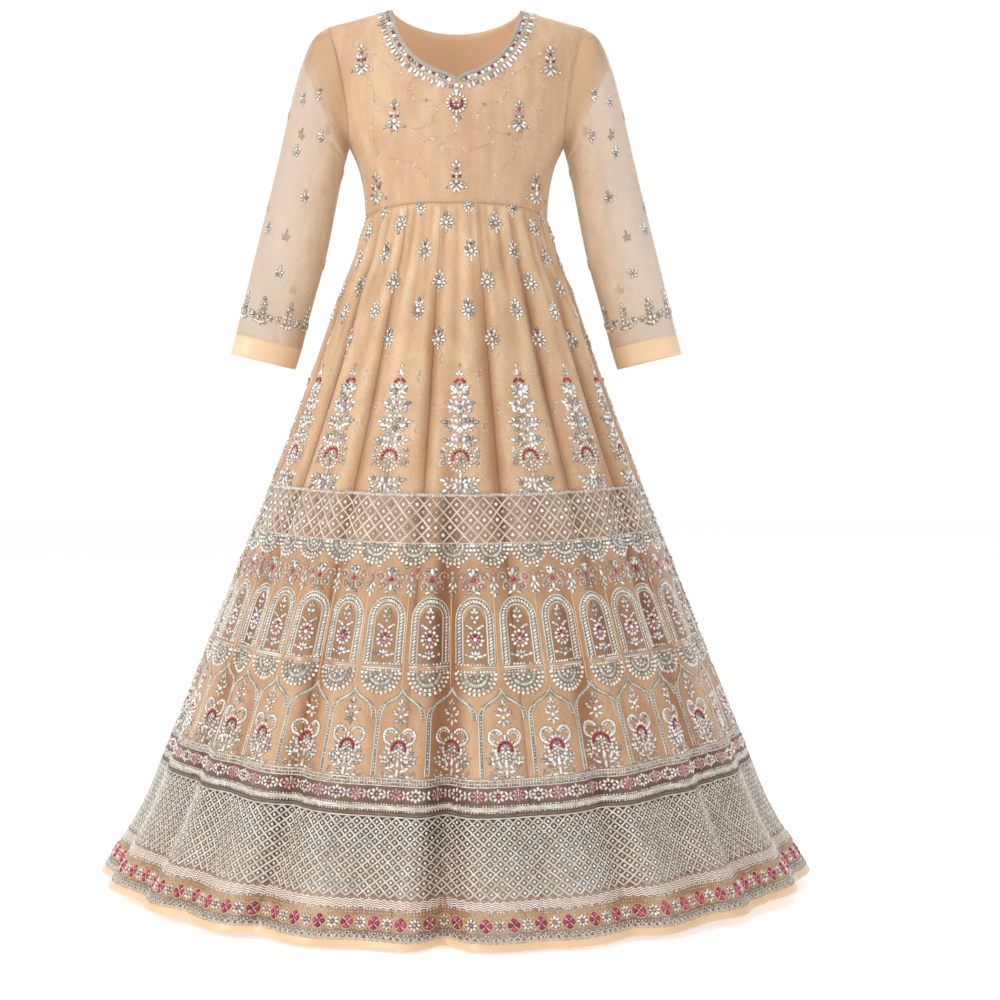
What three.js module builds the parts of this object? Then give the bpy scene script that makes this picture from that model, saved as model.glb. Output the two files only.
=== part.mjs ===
// Anarkali gown, standing hollow as if worn: a fitted bodice, long net sleeves with satin cuffs
// and a flared skirt of sixteen kalis (gores), gathered into a raised waist.
// Millimetres. The front faces -Y, +X is the wearer's left and +Z is up. The origin is midway
// between the two points where the shoulder seams meet the neckline, at their height.
import * as THREE from "three";

// ---- cloth and seams ----
const NET = 1.0; // embroidered net
const LINING = 1.0; // satin lining
const SATIN = 1.6; // doubled satin of the cuffs and the hem binding
const PIPING = 2.0;
const LAYER_GAP = 0.7; // net to the lining under it
const SEAM_GAP = 0.3;
const HALF_GAP = SEAM_GAP / 2;
const WAIST_GAP = 1.0; // the arched waist seam's facets differ a little above and below it

// ---- bodice ----
const NECK_HALF = 98; // neckline half-width at the shoulder seams
const SHOULDER_FALL = 25.6; // from the neck to the shoulder tip
const SHOULDER_TIP = 195.3;
const SLOPE_FADE = 200; // the shoulder slope has died away this far below it
const ROLL = 90; // the cloth turns over the shoulder within this drop
const BACK_NECK_DROP = 27;
const PIPING_WIDTH = 4;
const ARMHOLE_MID = 117.8; // drop to the middle of the armhole
const ARMHOLE_HALF = 92.2; // half its height
const UNDERARM = ARMHOLE_MID + ARMHOLE_HALF;
const WAIST_DROP = 301; // the seam at centre front, raised under the bust
const WAIST_SAG = 17; // how much lower the seam is at the sides
const SIDE_WAIST = WAIST_DROP + WAIST_SAG;

// depth of the bodice in front of and behind the side seams
const TORSO = [
  { drop: 0, front: 88, back: 70 },
  { drop: 60, front: 92, back: 81 },
  { drop: 115, front: 99, back: 91 },
  { drop: 150, front: 108, back: 97 },
  { drop: 190, front: 117, back: 101 },
  { drop: 230, front: 116, back: 101 },
  { drop: 265, front: 110, back: 98 },
  { drop: 325, front: 102, back: 95 },
];
// half-width of the ellipse that the bodice follows in plan
const GIRTH = [
  { drop: 0, half: 222 },
  { drop: 66, half: 208 },
  { drop: 126, half: 197 },
  { drop: 165, half: 184 },
  { drop: UNDERARM, half: 164.8 },
  { drop: 233, half: 153.5 },
  { drop: 260, half: 146 },
  { drop: 284, half: 142 },
  { drop: SIDE_WAIST, half: 139.5 },
];
const ARMHOLE = [
  { drop: SHOULDER_FALL, x: SHOULDER_TIP },
  { drop: 66, x: 183 },
  { drop: 126, x: 170.5 },
  { drop: 163.5, x: 166 },
  { drop: UNDERARM, x: 164.8 },
];
// front neckline from its point at centre front to the shoulder
const NECKLINE = [
  { share: 0, x: 0, drop: 116.7 },
  { share: 0.08, x: 11, drop: 109.4 },
  { share: 0.24, x: 36, drop: 99.5 },
  { share: 0.4, x: 62, drop: 82.4 },
  { share: 0.56, x: 79, drop: 61 },
  { share: 0.72, x: 88.5, drop: 40 },
  { share: 0.86, x: 94.5, drop: 20 },
  { share: 1, x: NECK_HALF, drop: 0 },
];

// ---- sleeves: rings from the armhole to the cuff, the outer and inner edge of each ----
const SLEEVE = [
  { outX: SHOULDER_TIP, outDrop: SHOULDER_FALL, inX: 164.8, inDrop: UNDERARM, depth: 50 },
  { outX: 218.6, outDrop: 42.6, inX: 167.6, inDrop: 219.3, depth: 54 },
  { outX: 237.2, outDrop: 82.9, inX: 169.5, inDrop: 227, depth: 54 },
  { outX: 254.2, outDrop: 143.4, inX: 172, inDrop: 236, depth: 51 },
  { outX: 275.9, outDrop: 237.9, inX: 179.8, inDrop: 272, depth: 46 },
  { outX: 302.3, outDrop: 343.3, inX: 200, inDrop: 372.8, depth: 40 },
  { outX: 325.5, outDrop: 434.8, inX: 223.8, inDrop: 459.6, depth: 35 },
  { outX: 340, outDrop: 493.7, inX: 238.7, inDrop: 518.5, depth: 32 },
];
const CUFF_END = { outX: 348.8, outDrop: 526.2, inX: 248.8, inDrop: 550.4, depth: 31 };
const CAP_RINGS = 3; // the cap lining ends at this ring

// ---- skirt ----
const KALIS = 16;
const KALI_ANGLE = 360 / KALIS;
const FIRST_KALI = 1.7; // angle of the first kali's middle from centre front
const HEM_DROP = 1334; // at centre front
const HEM_BAND = 12;
const SKIRT_LENGTH = HEM_DROP - WAIST_DROP;
const LINING_TOP = 0.004; // as shares of the skirt's length
const LINING_END = 0.975;
const LINING_EASE = 4.5; // lining inside the net at the waist, and how much more at the hem
const LINING_FLARE = 44;

// sections of the skirt: half-width, and depth in front of and behind the side line
const SKIRT = [
  { drop: SIDE_WAIST, half: 139.5, front: 103, back: 96 },
  { drop: 340, half: 147, front: 111, back: 103 },
  { drop: 384, half: 160, front: 126, back: 117 },
  { drop: 433, half: 181, front: 148, back: 137 },
  { drop: 520, half: 211, front: 181, back: 168 },
  { drop: 621, half: 247, front: 217, back: 203 },
  { drop: 729, half: 288, front: 259, back: 243 },
  { drop: 866, half: 343, front: 316, back: 297 },
  { drop: 997, half: 395, front: 368, back: 346 },
  { drop: 1121, half: 446, front: 419, back: 394 },
  { drop: 1221, half: 488, front: 463, back: 436 },
  { drop: HEM_DROP, half: 560, front: 516, back: 485 },
];
// how much higher than centre front the cloth hangs at the sides
const SIDE_LIFT = [
  { share: 0, lift: 0 },
  { share: 0.42, lift: 8 },
  { share: 0.78, lift: 24 },
  { share: 1, lift: 17 },
];
// folds that fall between the flares: angle and reach in degrees, depth at the hem, and where
// each one starts as a share of the skirt's length
const FOLDS = [
  { angle: -1.6, reach: 3.2, depth: 27, top: 0.2 },
  { angle: -13.8, reach: 5, depth: 12, top: 0.42 },
  { angle: -29.9, reach: 5, depth: 14, top: 0.4 },
  { angle: -46.3, reach: 5, depth: 15, top: 0.35 },
  { angle: -62, reach: 5, depth: 12, top: 0.45 },
  { angle: -77, reach: 5, depth: 11, top: 0.5 },
  { angle: -93, reach: 5, depth: 4, top: 0.4 },
  { angle: -108, reach: 5, depth: 14, top: 0.45 },
  { angle: -125, reach: 6, depth: 16, top: 0.35 },
  { angle: -141, reach: 5, depth: 12, top: 0.5 },
  { angle: -156, reach: 4, depth: 20, top: 0.3 },
  { angle: -172, reach: 5, depth: 13, top: 0.45 },
  { angle: 171, reach: 5, depth: 15, top: 0.4 },
  { angle: 154, reach: 6, depth: 13, top: 0.5 },
  { angle: 138, reach: 5, depth: 17, top: 0.35 },
  { angle: 121, reach: 5, depth: 12, top: 0.45 },
  { angle: 105, reach: 5, depth: 14, top: 0.4 },
  { angle: 89, reach: 5, depth: 4, top: 0.5 },
  { angle: 73, reach: 5, depth: 14, top: 0.4 },
  { angle: 57, reach: 5, depth: 13, top: 0.45 },
  { angle: 41, reach: 5, depth: 15, top: 0.35 },
  { angle: 26, reach: 5, depth: 12, top: 0.45 },
  { angle: 12, reach: 4, depth: 6, top: 0.6 },
];

// ---- fineness of the faceted cloth ----
const ARM_STEPS = 16; // round a sleeve
const WAIST_STEPS = 5; // along half the front's waist
const SIDE_STEPS = 2;
const RAY_STEPS = 4; // from the neckline to the edge of a bodice panel
const KALI_COLUMNS = 5;
const KALI_ROWS = 9;
const ROW_CROWDING = 1.15; // rows stand closer near the waist
const LINING_COLUMNS = 32;
const LINING_ROWS = 8;
const LINING_CROWDING = 1.6;

const { degToRad, clamp, lerp, smoothstep } = THREE.MathUtils;
const ALONG_X = new THREE.Vector3(1, 0, 0);
const ALONG_Y = new THREE.Vector3(0, 1, 0);
const ALONG_Z = new THREE.Vector3(0, 0, 1);

// The value of a table's column at a key, on a smooth curve through its rows.
function read(table, key, column, at) {
  const last = table.length - 1;
  const slope = (i) => {
    const before = table[Math.max(i - 1, 0)];
    const after = table[Math.min(i + 1, last)];
    return (after[column] - before[column]) / (after[key] - before[key]);
  };
  const place = clamp(at, table[0][key], table[last][key]);
  let i = 0;
  while (i < last - 1 && place > table[i + 1][key]) i += 1;
  const span = table[i + 1][key] - table[i][key];
  const t = (place - table[i][key]) / span;
  const bend = t * t * (3 - 2 * t);
  const start = slope(i) * span * t * (1 - t) * (1 - t);
  const end = slope(i + 1) * span * t * t * (1 - t);
  return lerp(table[i][column], table[i + 1][column], bend) + start - end;
}

// ---- bodice surface ----
// side is -1 in front and +1 behind; x and drop place a point as seen from the front.
function bodicePoint(x, drop, side) {
  const past = clamp((Math.abs(x) - NECK_HALF) / (SHOULDER_TIP - NECK_HALF), 0, 1);
  const fall = past * SHOULDER_FALL;
  const below = Math.max(0, (drop - fall) / (1 - fall / SLOPE_FADE));
  const turned = clamp(1 - below / ROLL, 0, 1);
  const roll = Math.sqrt(1 - turned * turned);
  const full = read(TORSO, "drop", side < 0 ? "front" : "back", below);
  const share = Math.min(1, Math.abs(x) / read(GIRTH, "drop", "half", drop));
  const depth = full * roll * Math.sqrt(1 - share * share);
  return new THREE.Vector3(x, side * (depth + HALF_GAP), -drop);
}

function waistDrop(angle) {
  return WAIST_DROP + WAIST_SAG * Math.sin(angle) ** 4;
}

// The edge of the armhole on one half, from the underarm (turn 1) to the shoulder tip (turn -1).
function armholeEdge(turn) {
  const drop = ARMHOLE_MID + ARMHOLE_HALF * turn;
  return [read(ARMHOLE, "drop", "x", drop), drop];
}

// Outer edge of half a bodice panel: along the waist, up the side and round the armhole. Each
// row ends with the directions that the cloth's thickness keeps out of, so that seams stay open.
function outerEdge() {
  const edge = [];
  for (let i = 0; i < WAIST_STEPS; i += 1) {
    const angle = (Math.PI / 2) * (i / WAIST_STEPS);
    edge.push([GIRTH.at(-1).half * Math.sin(angle), waistDrop(angle) - HALF_GAP, [ALONG_Z]]);
  }
  for (let i = 0; i < SIDE_STEPS; i += 1) {
    const drop = lerp(SIDE_WAIST - HALF_GAP, UNDERARM, i / SIDE_STEPS);
    edge.push([read(GIRTH, "drop", "half", drop), drop, i ? [ALONG_Y] : [ALONG_Y, ALONG_Z]]);
  }
  for (let i = 0; i <= ARM_STEPS / 2; i += 1) {
    const [x, drop] = armholeEdge(Math.cos((i / (ARM_STEPS / 2)) * Math.PI));
    edge.push([x - HALF_GAP, drop, i ? [ALONG_X] : [ALONG_Y]]);
  }
  return edge;
}

function frontNeck(share) {
  return [read(NECKLINE, "share", "x", share), read(NECKLINE, "share", "drop", share)];
}

function backNeck(share) {
  const x = NECK_HALF * share;
  return [x, BACK_NECK_DROP * (1 - share * share) ** 0.8];
}

// Rays from the neckline to the outer edge over half a panel, from centre to shoulder seam.
function halfPanel(neck, side, middle) {
  const edge = outerEdge();
  return edge.map(([edgeX, edgeDrop, kept], i) => {
    const [neckX, neckDrop] = neck(i / (edge.length - 1));
    const ray = [];
    for (let j = 0; j <= RAY_STEPS; j += 1) {
      const x = Math.max(middle, lerp(neckX, edgeX, j / RAY_STEPS));
      ray.push(bodicePoint(x, lerp(neckDrop, edgeDrop, j / RAY_STEPS), side));
    }
    ray.kept = kept;
    return ray;
  });
}

// The same cloth on the other side of the body.
function mirrored(grid) {
  return grid.map((line) => {
    const turned = line.map((point) => new THREE.Vector3(-point.x, point.y, point.z));
    turned.kept = line.kept;
    return turned;
  }).reverse();
}

// What a bodice panel's edges keep out of: ends gives the direction for the first and last ray.
function bodiceHold(grid, ends = [ALONG_Y, ALONG_Y]) {
  return (i, j) => {
    const kept = j === RAY_STEPS ? [...grid[i].kept] : [];
    if (i === 0) kept.push(ends[0]);
    if (i === grid.length - 1) kept.push(ends[1]);
    return kept;
  };
}

// ---- sleeve surface, for the side towards -X ----
function sleeveRing(ring, first) {
  const points = [];
  for (let i = 0; i < ARM_STEPS; i += 1) {
    const angle = (i / ARM_STEPS) * 2 * Math.PI;
    const inner = (1 + Math.sin(angle)) / 2;
    if (first) {
      const [x, drop] = armholeEdge(Math.sin(angle));
      const point = bodicePoint(x, drop, Math.cos(angle) > 0 ? -1 : 1);
      const fades = Math.abs(Math.cos(angle)) > 1e-6 ? 1 : 0;
      points.push(new THREE.Vector3(-x - HALF_GAP, point.y * fades, -drop));
    } else {
      points.push(new THREE.Vector3(
        -lerp(ring.outX, ring.inX, inner),
        -ring.depth * Math.cos(angle),
        -lerp(ring.outDrop, ring.inDrop, inner),
      ));
    }
  }
  return points;
}

// Rings turned into lines that run down the sleeve.
function tubeGrid(rings) {
  return rings[0].map((_, i) => rings.map((ring) => ring[i]));
}

// ---- skirt surface ----
function foldDepth(degrees, share) {
  return FOLDS.reduce((sum, fold) => {
    const away = ((degrees - fold.angle + 540) % 360) - 180;
    const across = Math.exp(-((away / fold.reach) ** 2));
    return sum + fold.depth * across * smoothstep(share, fold.top, 1.15) * 1.25;
  }, 0);
}

// angle in degrees from centre front towards +X; share runs from the waist seam to the hem;
// inset moves the point in towards the hollow, without the folds where it is given.
function skirtPoint(degrees, share, inset) {
  const angle = degToRad(degrees);
  const sine = Math.sin(angle);
  const sag = (waistDrop(angle) - WAIST_DROP) * (1 - smoothstep(share, 0, 0.3));
  const lift = read(SIDE_LIFT, "share", "lift", share) * sine * sine;
  const drop = WAIST_DROP + SKIRT_LENGTH * share + sag - lift;
  const half = read(SKIRT, "drop", "half", drop);
  const depth = read(SKIRT, "drop", Math.cos(angle) > 0 ? "front" : "back", drop);
  const inwards = inset ?? foldDepth(degrees, share);
  return new THREE.Vector3(
    (half - inwards) * sine,
    -(depth - inwards) * Math.cos(angle),
    -drop,
  );
}

function kaliGrid(index) {
  const middle = FIRST_KALI + index * KALI_ANGLE;
  const bandShare = (HEM_BAND + SEAM_GAP) / SKIRT_LENGTH;
  const grid = [];
  for (let i = 0; i <= KALI_COLUMNS; i += 1) {
    const line = [];
    for (let j = 0; j <= KALI_ROWS; j += 1) {
      const share = (1 - bandShare) * (j / KALI_ROWS) ** ROW_CROWDING;
      const radius = read(SKIRT, "drop", "front", WAIST_DROP + SKIRT_LENGTH * share);
      const trim = THREE.MathUtils.radToDeg(SEAM_GAP / radius);
      const spread = (KALI_ANGLE - trim) * (i / KALI_COLUMNS - 0.5);
      const point = skirtPoint(middle + spread, share);
      if (j === 0) point.z -= WAIST_GAP;
      line.push(point);
    }
    grid.push(line);
  }
  return grid;
}

function kaliHold(index) {
  return (i, j) => {
    const kept = [];
    if (j === 0 || j === KALI_ROWS) kept.push(ALONG_Z);
    if (i === 0 || i === KALI_COLUMNS) {
      const edge = degToRad(FIRST_KALI + (index + i / KALI_COLUMNS - 0.5) * KALI_ANGLE);
      kept.push(new THREE.Vector3(Math.cos(edge), Math.sin(edge), 0));
    }
    return kept;
  };
}

// A ring of columns round the skirt, between two shares of its length.
function skirtRing(columns, rows, top, end, inset) {
  const grid = [];
  for (let i = 0; i < columns; i += 1) {
    const degrees = FIRST_KALI + (i / columns - 0.5 / KALIS) * 360;
    const line = [];
    for (let j = 0; j <= rows; j += 1) {
      const share = lerp(top, end, (j / rows) ** LINING_CROWDING);
      line.push(skirtPoint(degrees, share, inset ? inset(share) : undefined));
    }
    grid.push(line);
  }
  return grid;
}

// ---- cloth walls ----
// A closed wall of cloth between two depths under a grid of points (grid[across][down]), with
// its rims joined. Going across and then down, the hollow is on the side that depths run to.
function wall(grid, from, to, { ring = false, hold = () => [] } = {}) {
  const across = grid.length;
  const down = grid[0].length;
  const at = (i, j) => {
    const line = ring ? (i + across) % across : clamp(i, 0, across - 1);
    return grid[line][clamp(j, 0, down - 1)];
  };
  const inward = (i, j) => {
    const along = at(i + 1, j).clone().sub(at(i - 1, j));
    const fall = at(i, j + 1).clone().sub(at(i, j - 1));
    const normal = along.cross(fall).normalize();
    hold(i, j).forEach((kept) => normal.addScaledVector(kept, -normal.dot(kept)));
    return normal.normalize();
  };
  const positions = [from, to].flatMap((depth) => grid.flatMap((line, i) => line.flatMap(
    (point, j) => point.clone().addScaledVector(inward(i, j), depth).toArray(),
  )));
  const inner = across * down;
  const id = (i, j) => (i % across) * down + j;
  const faces = [];
  const columns = ring ? across : across - 1;
  for (let i = 0; i < columns; i += 1) {
    for (let j = 0; j < down - 1; j += 1) {
      const [a, b, c, d] = [id(i, j), id(i + 1, j), id(i + 1, j + 1), id(i, j + 1)];
      faces.push(a, d, c, a, c, b);
      faces.push(inner + a, inner + c, inner + d, inner + a, inner + b, inner + c);
    }
  }
  const rim = (loop) => loop.slice(1).forEach((q, k) => {
    const p = loop[k];
    faces.push(p, q, inner + q, p, inner + q, inner + p);
  });
  const top = Array.from({ length: columns + 1 }, (_, i) => id(i, 0));
  const bottom = Array.from({ length: columns + 1 }, (_, i) => id(i, down - 1)).reverse();
  if (ring) {
    rim(top);
    rim(bottom);
  } else {
    const right = Array.from({ length: down }, (_, j) => id(across - 1, j));
    const left = Array.from({ length: down }, (_, j) => id(0, j)).reverse();
    [top, right, bottom, left].forEach(rim);
  }
  const geometry = new THREE.BufferGeometry();
  geometry.setAttribute("position", new THREE.Float32BufferAttribute(positions, 3));
  geometry.setIndex(faces);
  geometry.computeVertexNormals();
  return geometry;
}

// ---- the gown ----
const gown = new THREE.Group();

function addPiece(name, geometry, color, roughness = 0.6, metalness = 0) {
  const material = new THREE.MeshStandardMaterial({ color, roughness, metalness });
  const mesh = new THREE.Mesh(geometry, material);
  mesh.name = name;
  gown.add(mesh);
}

const NET_COLOR = "#e3be93";
const LINING_COLOR = "#eac9a0";
const SATIN_COLOR = "#f2cfa0";
const SILVER_COLOR = "#d8d2c8";
const LINING_FROM = NET + LAYER_GAP;
const LINING_TO = LINING_FROM + LINING;

function addBodicePanel(name, grid, ends) {
  const hold = bodiceHold(grid, ends);
  addPiece(`bodice_${name}`, wall(grid, 0, NET, { hold }), NET_COLOR);
  const lining = wall(grid, LINING_FROM, LINING_TO, { hold });
  addPiece(`bodice_lining_${name}`, lining, LINING_COLOR, 0.4);
}

const frontHalf = halfPanel(frontNeck, -1, 0);
const front = mirrored(frontHalf).concat(frontHalf.slice(1));
addBodicePanel("front", front);

// Behind, +X is the wearer's left too, so the left half runs in from its shoulder seam.
const backLeft = halfPanel(backNeck, 1, HALF_GAP).reverse();
addBodicePanel("back_left", backLeft, [ALONG_Y, ALONG_X]);
addBodicePanel("back_right", mirrored(backLeft), [ALONG_X, ALONG_Y]);

// Piping on the front neck edge, made from the panel's own points moved out.
const pipingGrid = front.map((ray) => {
  const edge = ray[0];
  const inset = ray[1].clone().sub(edge).setLength(PIPING_WIDTH);
  return [edge.clone(), edge.clone().add(inset)];
});
const pipingEnds = (i) => (i === 0 || i === pipingGrid.length - 1 ? [ALONG_Y] : []);
const piping = wall(pipingGrid, -SEAM_GAP - PIPING, -SEAM_GAP, { hold: pipingEnds });
addPiece("neck_piping_front", piping, SILVER_COLOR, 0.35, 0.5);

// Sleeves, cap linings and cuffs; the side towards +X mirrors the other.
const sleeveRings = SLEEVE.map((ring, i) => sleeveRing(ring, i === 0));
const sleeveGrid = tubeGrid(sleeveRings);
const cuffTop = SLEEVE.at(-1);
const seamShare = SEAM_GAP / (CUFF_END.outDrop - cuffTop.outDrop);
const cuffStart = Object.fromEntries(
  Object.keys(cuffTop).map((key) => [key, lerp(cuffTop[key], CUFF_END[key], seamShare)]),
);
const cuffGrid = tubeGrid([sleeveRing(cuffStart), sleeveRing(CUFF_END)]);
const armholeHold = (i, j) => (j === 0 ? [ALONG_X] : []);
const capGrid = sleeveGrid.map((line) => line.slice(0, CAP_RINGS));
for (const [name, turn] of [["right", (grid) => grid], ["left", mirrored]]) {
  const tube = { ring: true, hold: armholeHold };
  addPiece(`sleeve_${name}`, wall(turn(sleeveGrid), 0, NET, tube), NET_COLOR);
  const cap = wall(turn(capGrid), LINING_FROM, LINING_TO, tube);
  addPiece(`cap_lining_${name}`, cap, LINING_COLOR, 0.4);
  addPiece(`cuff_${name}`, wall(turn(cuffGrid), 0, SATIN, { ring: true }), SATIN_COLOR, 0.35);
}

// The sixteen kalis, the binding of their hem and the lining inside them.
for (let index = 0; index < KALIS; index += 1) {
  const name = `kali_${String(index + 1).padStart(2, "0")}`;
  addPiece(name, wall(kaliGrid(index), 0, NET, { hold: kaliHold(index) }), NET_COLOR);
}
const bandTop = 1 - HEM_BAND / SKIRT_LENGTH;
const hemRing = skirtRing(KALIS * KALI_COLUMNS, 1, bandTop, 1);
const hemHold = (i, j) => (j === 0 ? [ALONG_Z] : []);
addPiece("hem_binding", wall(hemRing, 0, SATIN, { ring: true, hold: hemHold }), SATIN_COLOR, 0.35);
const liningInset = (share) => LINING_EASE + LINING_FLARE * share;
const liningRing = skirtRing(LINING_COLUMNS, LINING_ROWS, LINING_TOP, LINING_END, liningInset);
addPiece("skirt_lining", wall(liningRing, 0, LINING, { ring: true }), LINING_COLOR, 0.4);

export default gown;
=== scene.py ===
# %% [markdown]
# # An anarkali gown in Blender
# An anarkali is a long gown with a fitted bodice and a skirt of many kalis (narrow gores) that
# flare from a high waist. Here it stands hollow, as if worn. Every cloth surface is written once
# as a formula in millimetres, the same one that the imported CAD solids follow. The cloth and the
# thousands of stones sewn on it both read that formula, so nothing has to be fitted by eye.

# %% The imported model
from collections import namedtuple
import bmesh
import bpy
import numpy as np
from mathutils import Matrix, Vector


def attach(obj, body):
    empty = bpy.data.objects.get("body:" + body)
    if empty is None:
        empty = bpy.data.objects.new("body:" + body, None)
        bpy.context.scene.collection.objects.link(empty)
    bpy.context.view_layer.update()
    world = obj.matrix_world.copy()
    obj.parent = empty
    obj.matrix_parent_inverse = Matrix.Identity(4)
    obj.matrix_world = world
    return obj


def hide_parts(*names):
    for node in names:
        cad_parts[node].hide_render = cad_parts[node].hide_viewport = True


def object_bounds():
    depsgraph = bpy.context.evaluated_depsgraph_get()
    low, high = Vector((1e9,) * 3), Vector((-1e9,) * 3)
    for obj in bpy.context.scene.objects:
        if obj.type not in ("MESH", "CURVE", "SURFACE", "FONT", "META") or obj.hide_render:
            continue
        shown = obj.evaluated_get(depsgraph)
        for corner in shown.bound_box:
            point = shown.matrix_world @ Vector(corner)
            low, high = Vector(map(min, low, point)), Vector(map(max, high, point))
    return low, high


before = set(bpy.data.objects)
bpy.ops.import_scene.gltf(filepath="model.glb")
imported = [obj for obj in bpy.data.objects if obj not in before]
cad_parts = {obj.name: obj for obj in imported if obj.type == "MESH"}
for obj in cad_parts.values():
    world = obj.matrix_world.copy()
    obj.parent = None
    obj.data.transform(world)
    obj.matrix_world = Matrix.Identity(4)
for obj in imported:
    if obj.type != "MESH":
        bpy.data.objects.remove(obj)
CAD_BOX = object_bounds()
MM = 0.001
print("CAD box in metres:", CAD_BOX)

# %% [markdown]
# ## Reading a smooth curve through a few rows
# A dressmaker measures a body at a few heights and lets the cloth run smoothly between them.
# Each table below holds such rows. `through` gives the value between them on a Hermite curve,
# which passes through every row without the kinks of straight lines.

# %% Smooth tables
def table(*rows):
    """Rows of a table as an array: the key first, then its columns."""
    return np.array(rows, dtype=float)


def through(rows, column, at):
    """The value of a column at the key, on a smooth curve through the rows."""
    keys, values = rows[:, 0], rows[:, column]
    last = len(keys) - 1
    before = np.maximum(np.arange(last + 1) - 1, 0)
    after = np.minimum(np.arange(last + 1) + 1, last)
    slopes = (values[after] - values[before]) / (keys[after] - keys[before])
    place = np.clip(at, keys[0], keys[-1])
    i = np.clip(np.searchsorted(keys, place, side="left") - 1, 0, last - 1)
    span = keys[i + 1] - keys[i]
    t = (place - keys[i]) / span
    blend = t * t * (3 - 2 * t)
    start = slopes[i] * span * t * (1 - t) ** 2
    end = slopes[i + 1] * span * t * t * (1 - t)
    return values[i] + (values[i + 1] - values[i]) * blend + start - end


def fade(at, start, end):
    """0 before start, 1 past end, and smooth between them."""
    t = np.clip((np.asarray(at, dtype=float) - start) / (end - start), 0, 1)
    return t * t * (3 - 2 * t)


def mix(a, b, t):
    return a + (b - a) * t


print("half way from 10 to 20:", through(table((0, 10), (1, 20)), 1, 0.5))

# %% [markdown]
# ## The skirt's surface
# In plan the skirt is an ellipse that grows from the waist to the hem. Main folds run down it as
# troughs with a place, a width and a depth, because that is how a tailor would describe them:
# each is a soft bell across the cloth that deepens towards the hem. Finer gathers spread from
# the waist seam, and a shallow furrow follows each seam between two kalis.

# %% Skirt sections and folds
WAIST_DROP, WAIST_SAG, WAIST_HALF = 301.0, 17.0, 139.5
HEM_DROP, HEM_BAND = 1334.0, 12.0
SKIRT_LENGTH = HEM_DROP - WAIST_DROP
KALIS, FIRST_KALI = 16, 1.7
KALI_ANGLE = 360 / KALIS

# drop, half-width, depth in front, depth behind
SKIRT = table(
    (318, WAIST_HALF, 103, 96), (340, 147, 111, 103), (384, 160, 126, 117), (433, 181, 148, 137),
    (520, 211, 181, 168), (621, 247, 217, 203), (729, 288, 259, 243), (866, 343, 316, 297),
    (997, 395, 368, 346), (1121, 446, 419, 394), (1221, 488, 463, 436), (1334, 560, 516, 485),
)
# share of the length, how much higher than centre front the cloth hangs at the sides
SIDE_LIFT = table((0, 0), (0.42, 8), (0.78, 24), (1, 17))
# angle and reach in degrees, depth at the hem in mm, share of the length where it starts
FOLDS = table(
    (-1.6, 3.2, 27, 0.2), (-13.8, 5, 12, 0.42), (-29.9, 5, 14, 0.4), (-46.3, 5, 15, 0.35),
    (-62, 5, 12, 0.45), (-77, 5, 11, 0.5), (-93, 5, 4, 0.4), (-108, 5, 14, 0.45),
    (-125, 6, 16, 0.35), (-141, 5, 12, 0.5), (-156, 4, 20, 0.3), (-172, 5, 13, 0.45),
    (171, 5, 15, 0.4), (154, 6, 13, 0.5), (138, 5, 17, 0.35), (121, 5, 12, 0.45),
    (105, 5, 14, 0.4), (89, 5, 4, 0.5), (73, 5, 14, 0.4), (57, 5, 13, 0.45),
    (41, 5, 15, 0.35), (26, 5, 12, 0.45), (12, 4, 6, 0.6),
)
FOLD_FULL, FOLD_GAIN = 1.15, 1.25  # share where a fold would be full, past the hem, and its gain
# where the net has fallen into a sharper groove: angle and half-width in degrees, depth in mm,
# shares of the length where it starts and is full
GROOVES = table(
    (-2.5, 2.0, 13, 0.34, 0.60), (-31.0, 2.2, 9, 0.50, 0.80), (27.0, 2.2, 10, 0.42, 0.70),
    (52.0, 2.8, 11, 0.30, 0.60), (-58.0, 2.8, 10, 0.40, 0.70), (88.0, 2.6, 8, 0.40, 0.80),
    (121.0, 2.6, 11, 0.35, 0.60), (158.0, 2.6, 10, 0.45, 0.70), (-166.0, 2.4, 11, 0.40, 0.70),
    (-128.0, 2.8, 10, 0.35, 0.60), (-96.0, 2.6, 8, 0.50, 0.80),
)
# depths in mm, reaches in degrees
SEAM_FURROW, SEAM_REACH = 7.0, 2.1
GATHERS, GATHER_DEPTH, GATHER_REACH, GATHER_FADE = 54, 3.4, 1.9, 0.34
RIPPLES, RIPPLE_DEPTH, RIPPLE_REACH = 34, 4.6, 3.1

chance = np.random.default_rng(7)
gather_at = (np.arange(GATHERS) + chance.uniform(-0.35, 0.35, GATHERS)) * 360 / GATHERS
gather_size = chance.uniform(0.45, 1.0, GATHERS)
ripple_at = (np.arange(RIPPLES) + chance.uniform(-0.3, 0.3, RIPPLES)) * 360 / RIPPLES
ripple_size = chance.uniform(0.3, 1.0, RIPPLES)
ripple_end = chance.uniform(0.42, 0.8, RIPPLES)
print("main folds:", len(FOLDS), "gathers:", GATHERS, "ripples:", RIPPLES)

# %% [markdown]
# ## From tables to a surface
# `bell` is the one shape that all the folds share. The smooth cone comes first, and the folds are
# then taken inwards from it, so the outermost cloth stays on the measured outline.

# %% Skirt surface
def away(degrees, middle):
    """How far an angle is from a middle, from -180 to 180."""
    return (degrees - middle + 540) % 360 - 180


def bell(degrees, middle, reach):
    """A soft hump round the skirt: 1 at its middle and nearly 0 two reaches away."""
    return np.exp(-((away(degrees, middle) / reach) ** 2))


def waist_drop(angle):
    """How far below the shoulder point the waist seam lies, lower at the sides."""
    return WAIST_DROP + WAIST_SAG * np.sin(angle) ** 4


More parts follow.
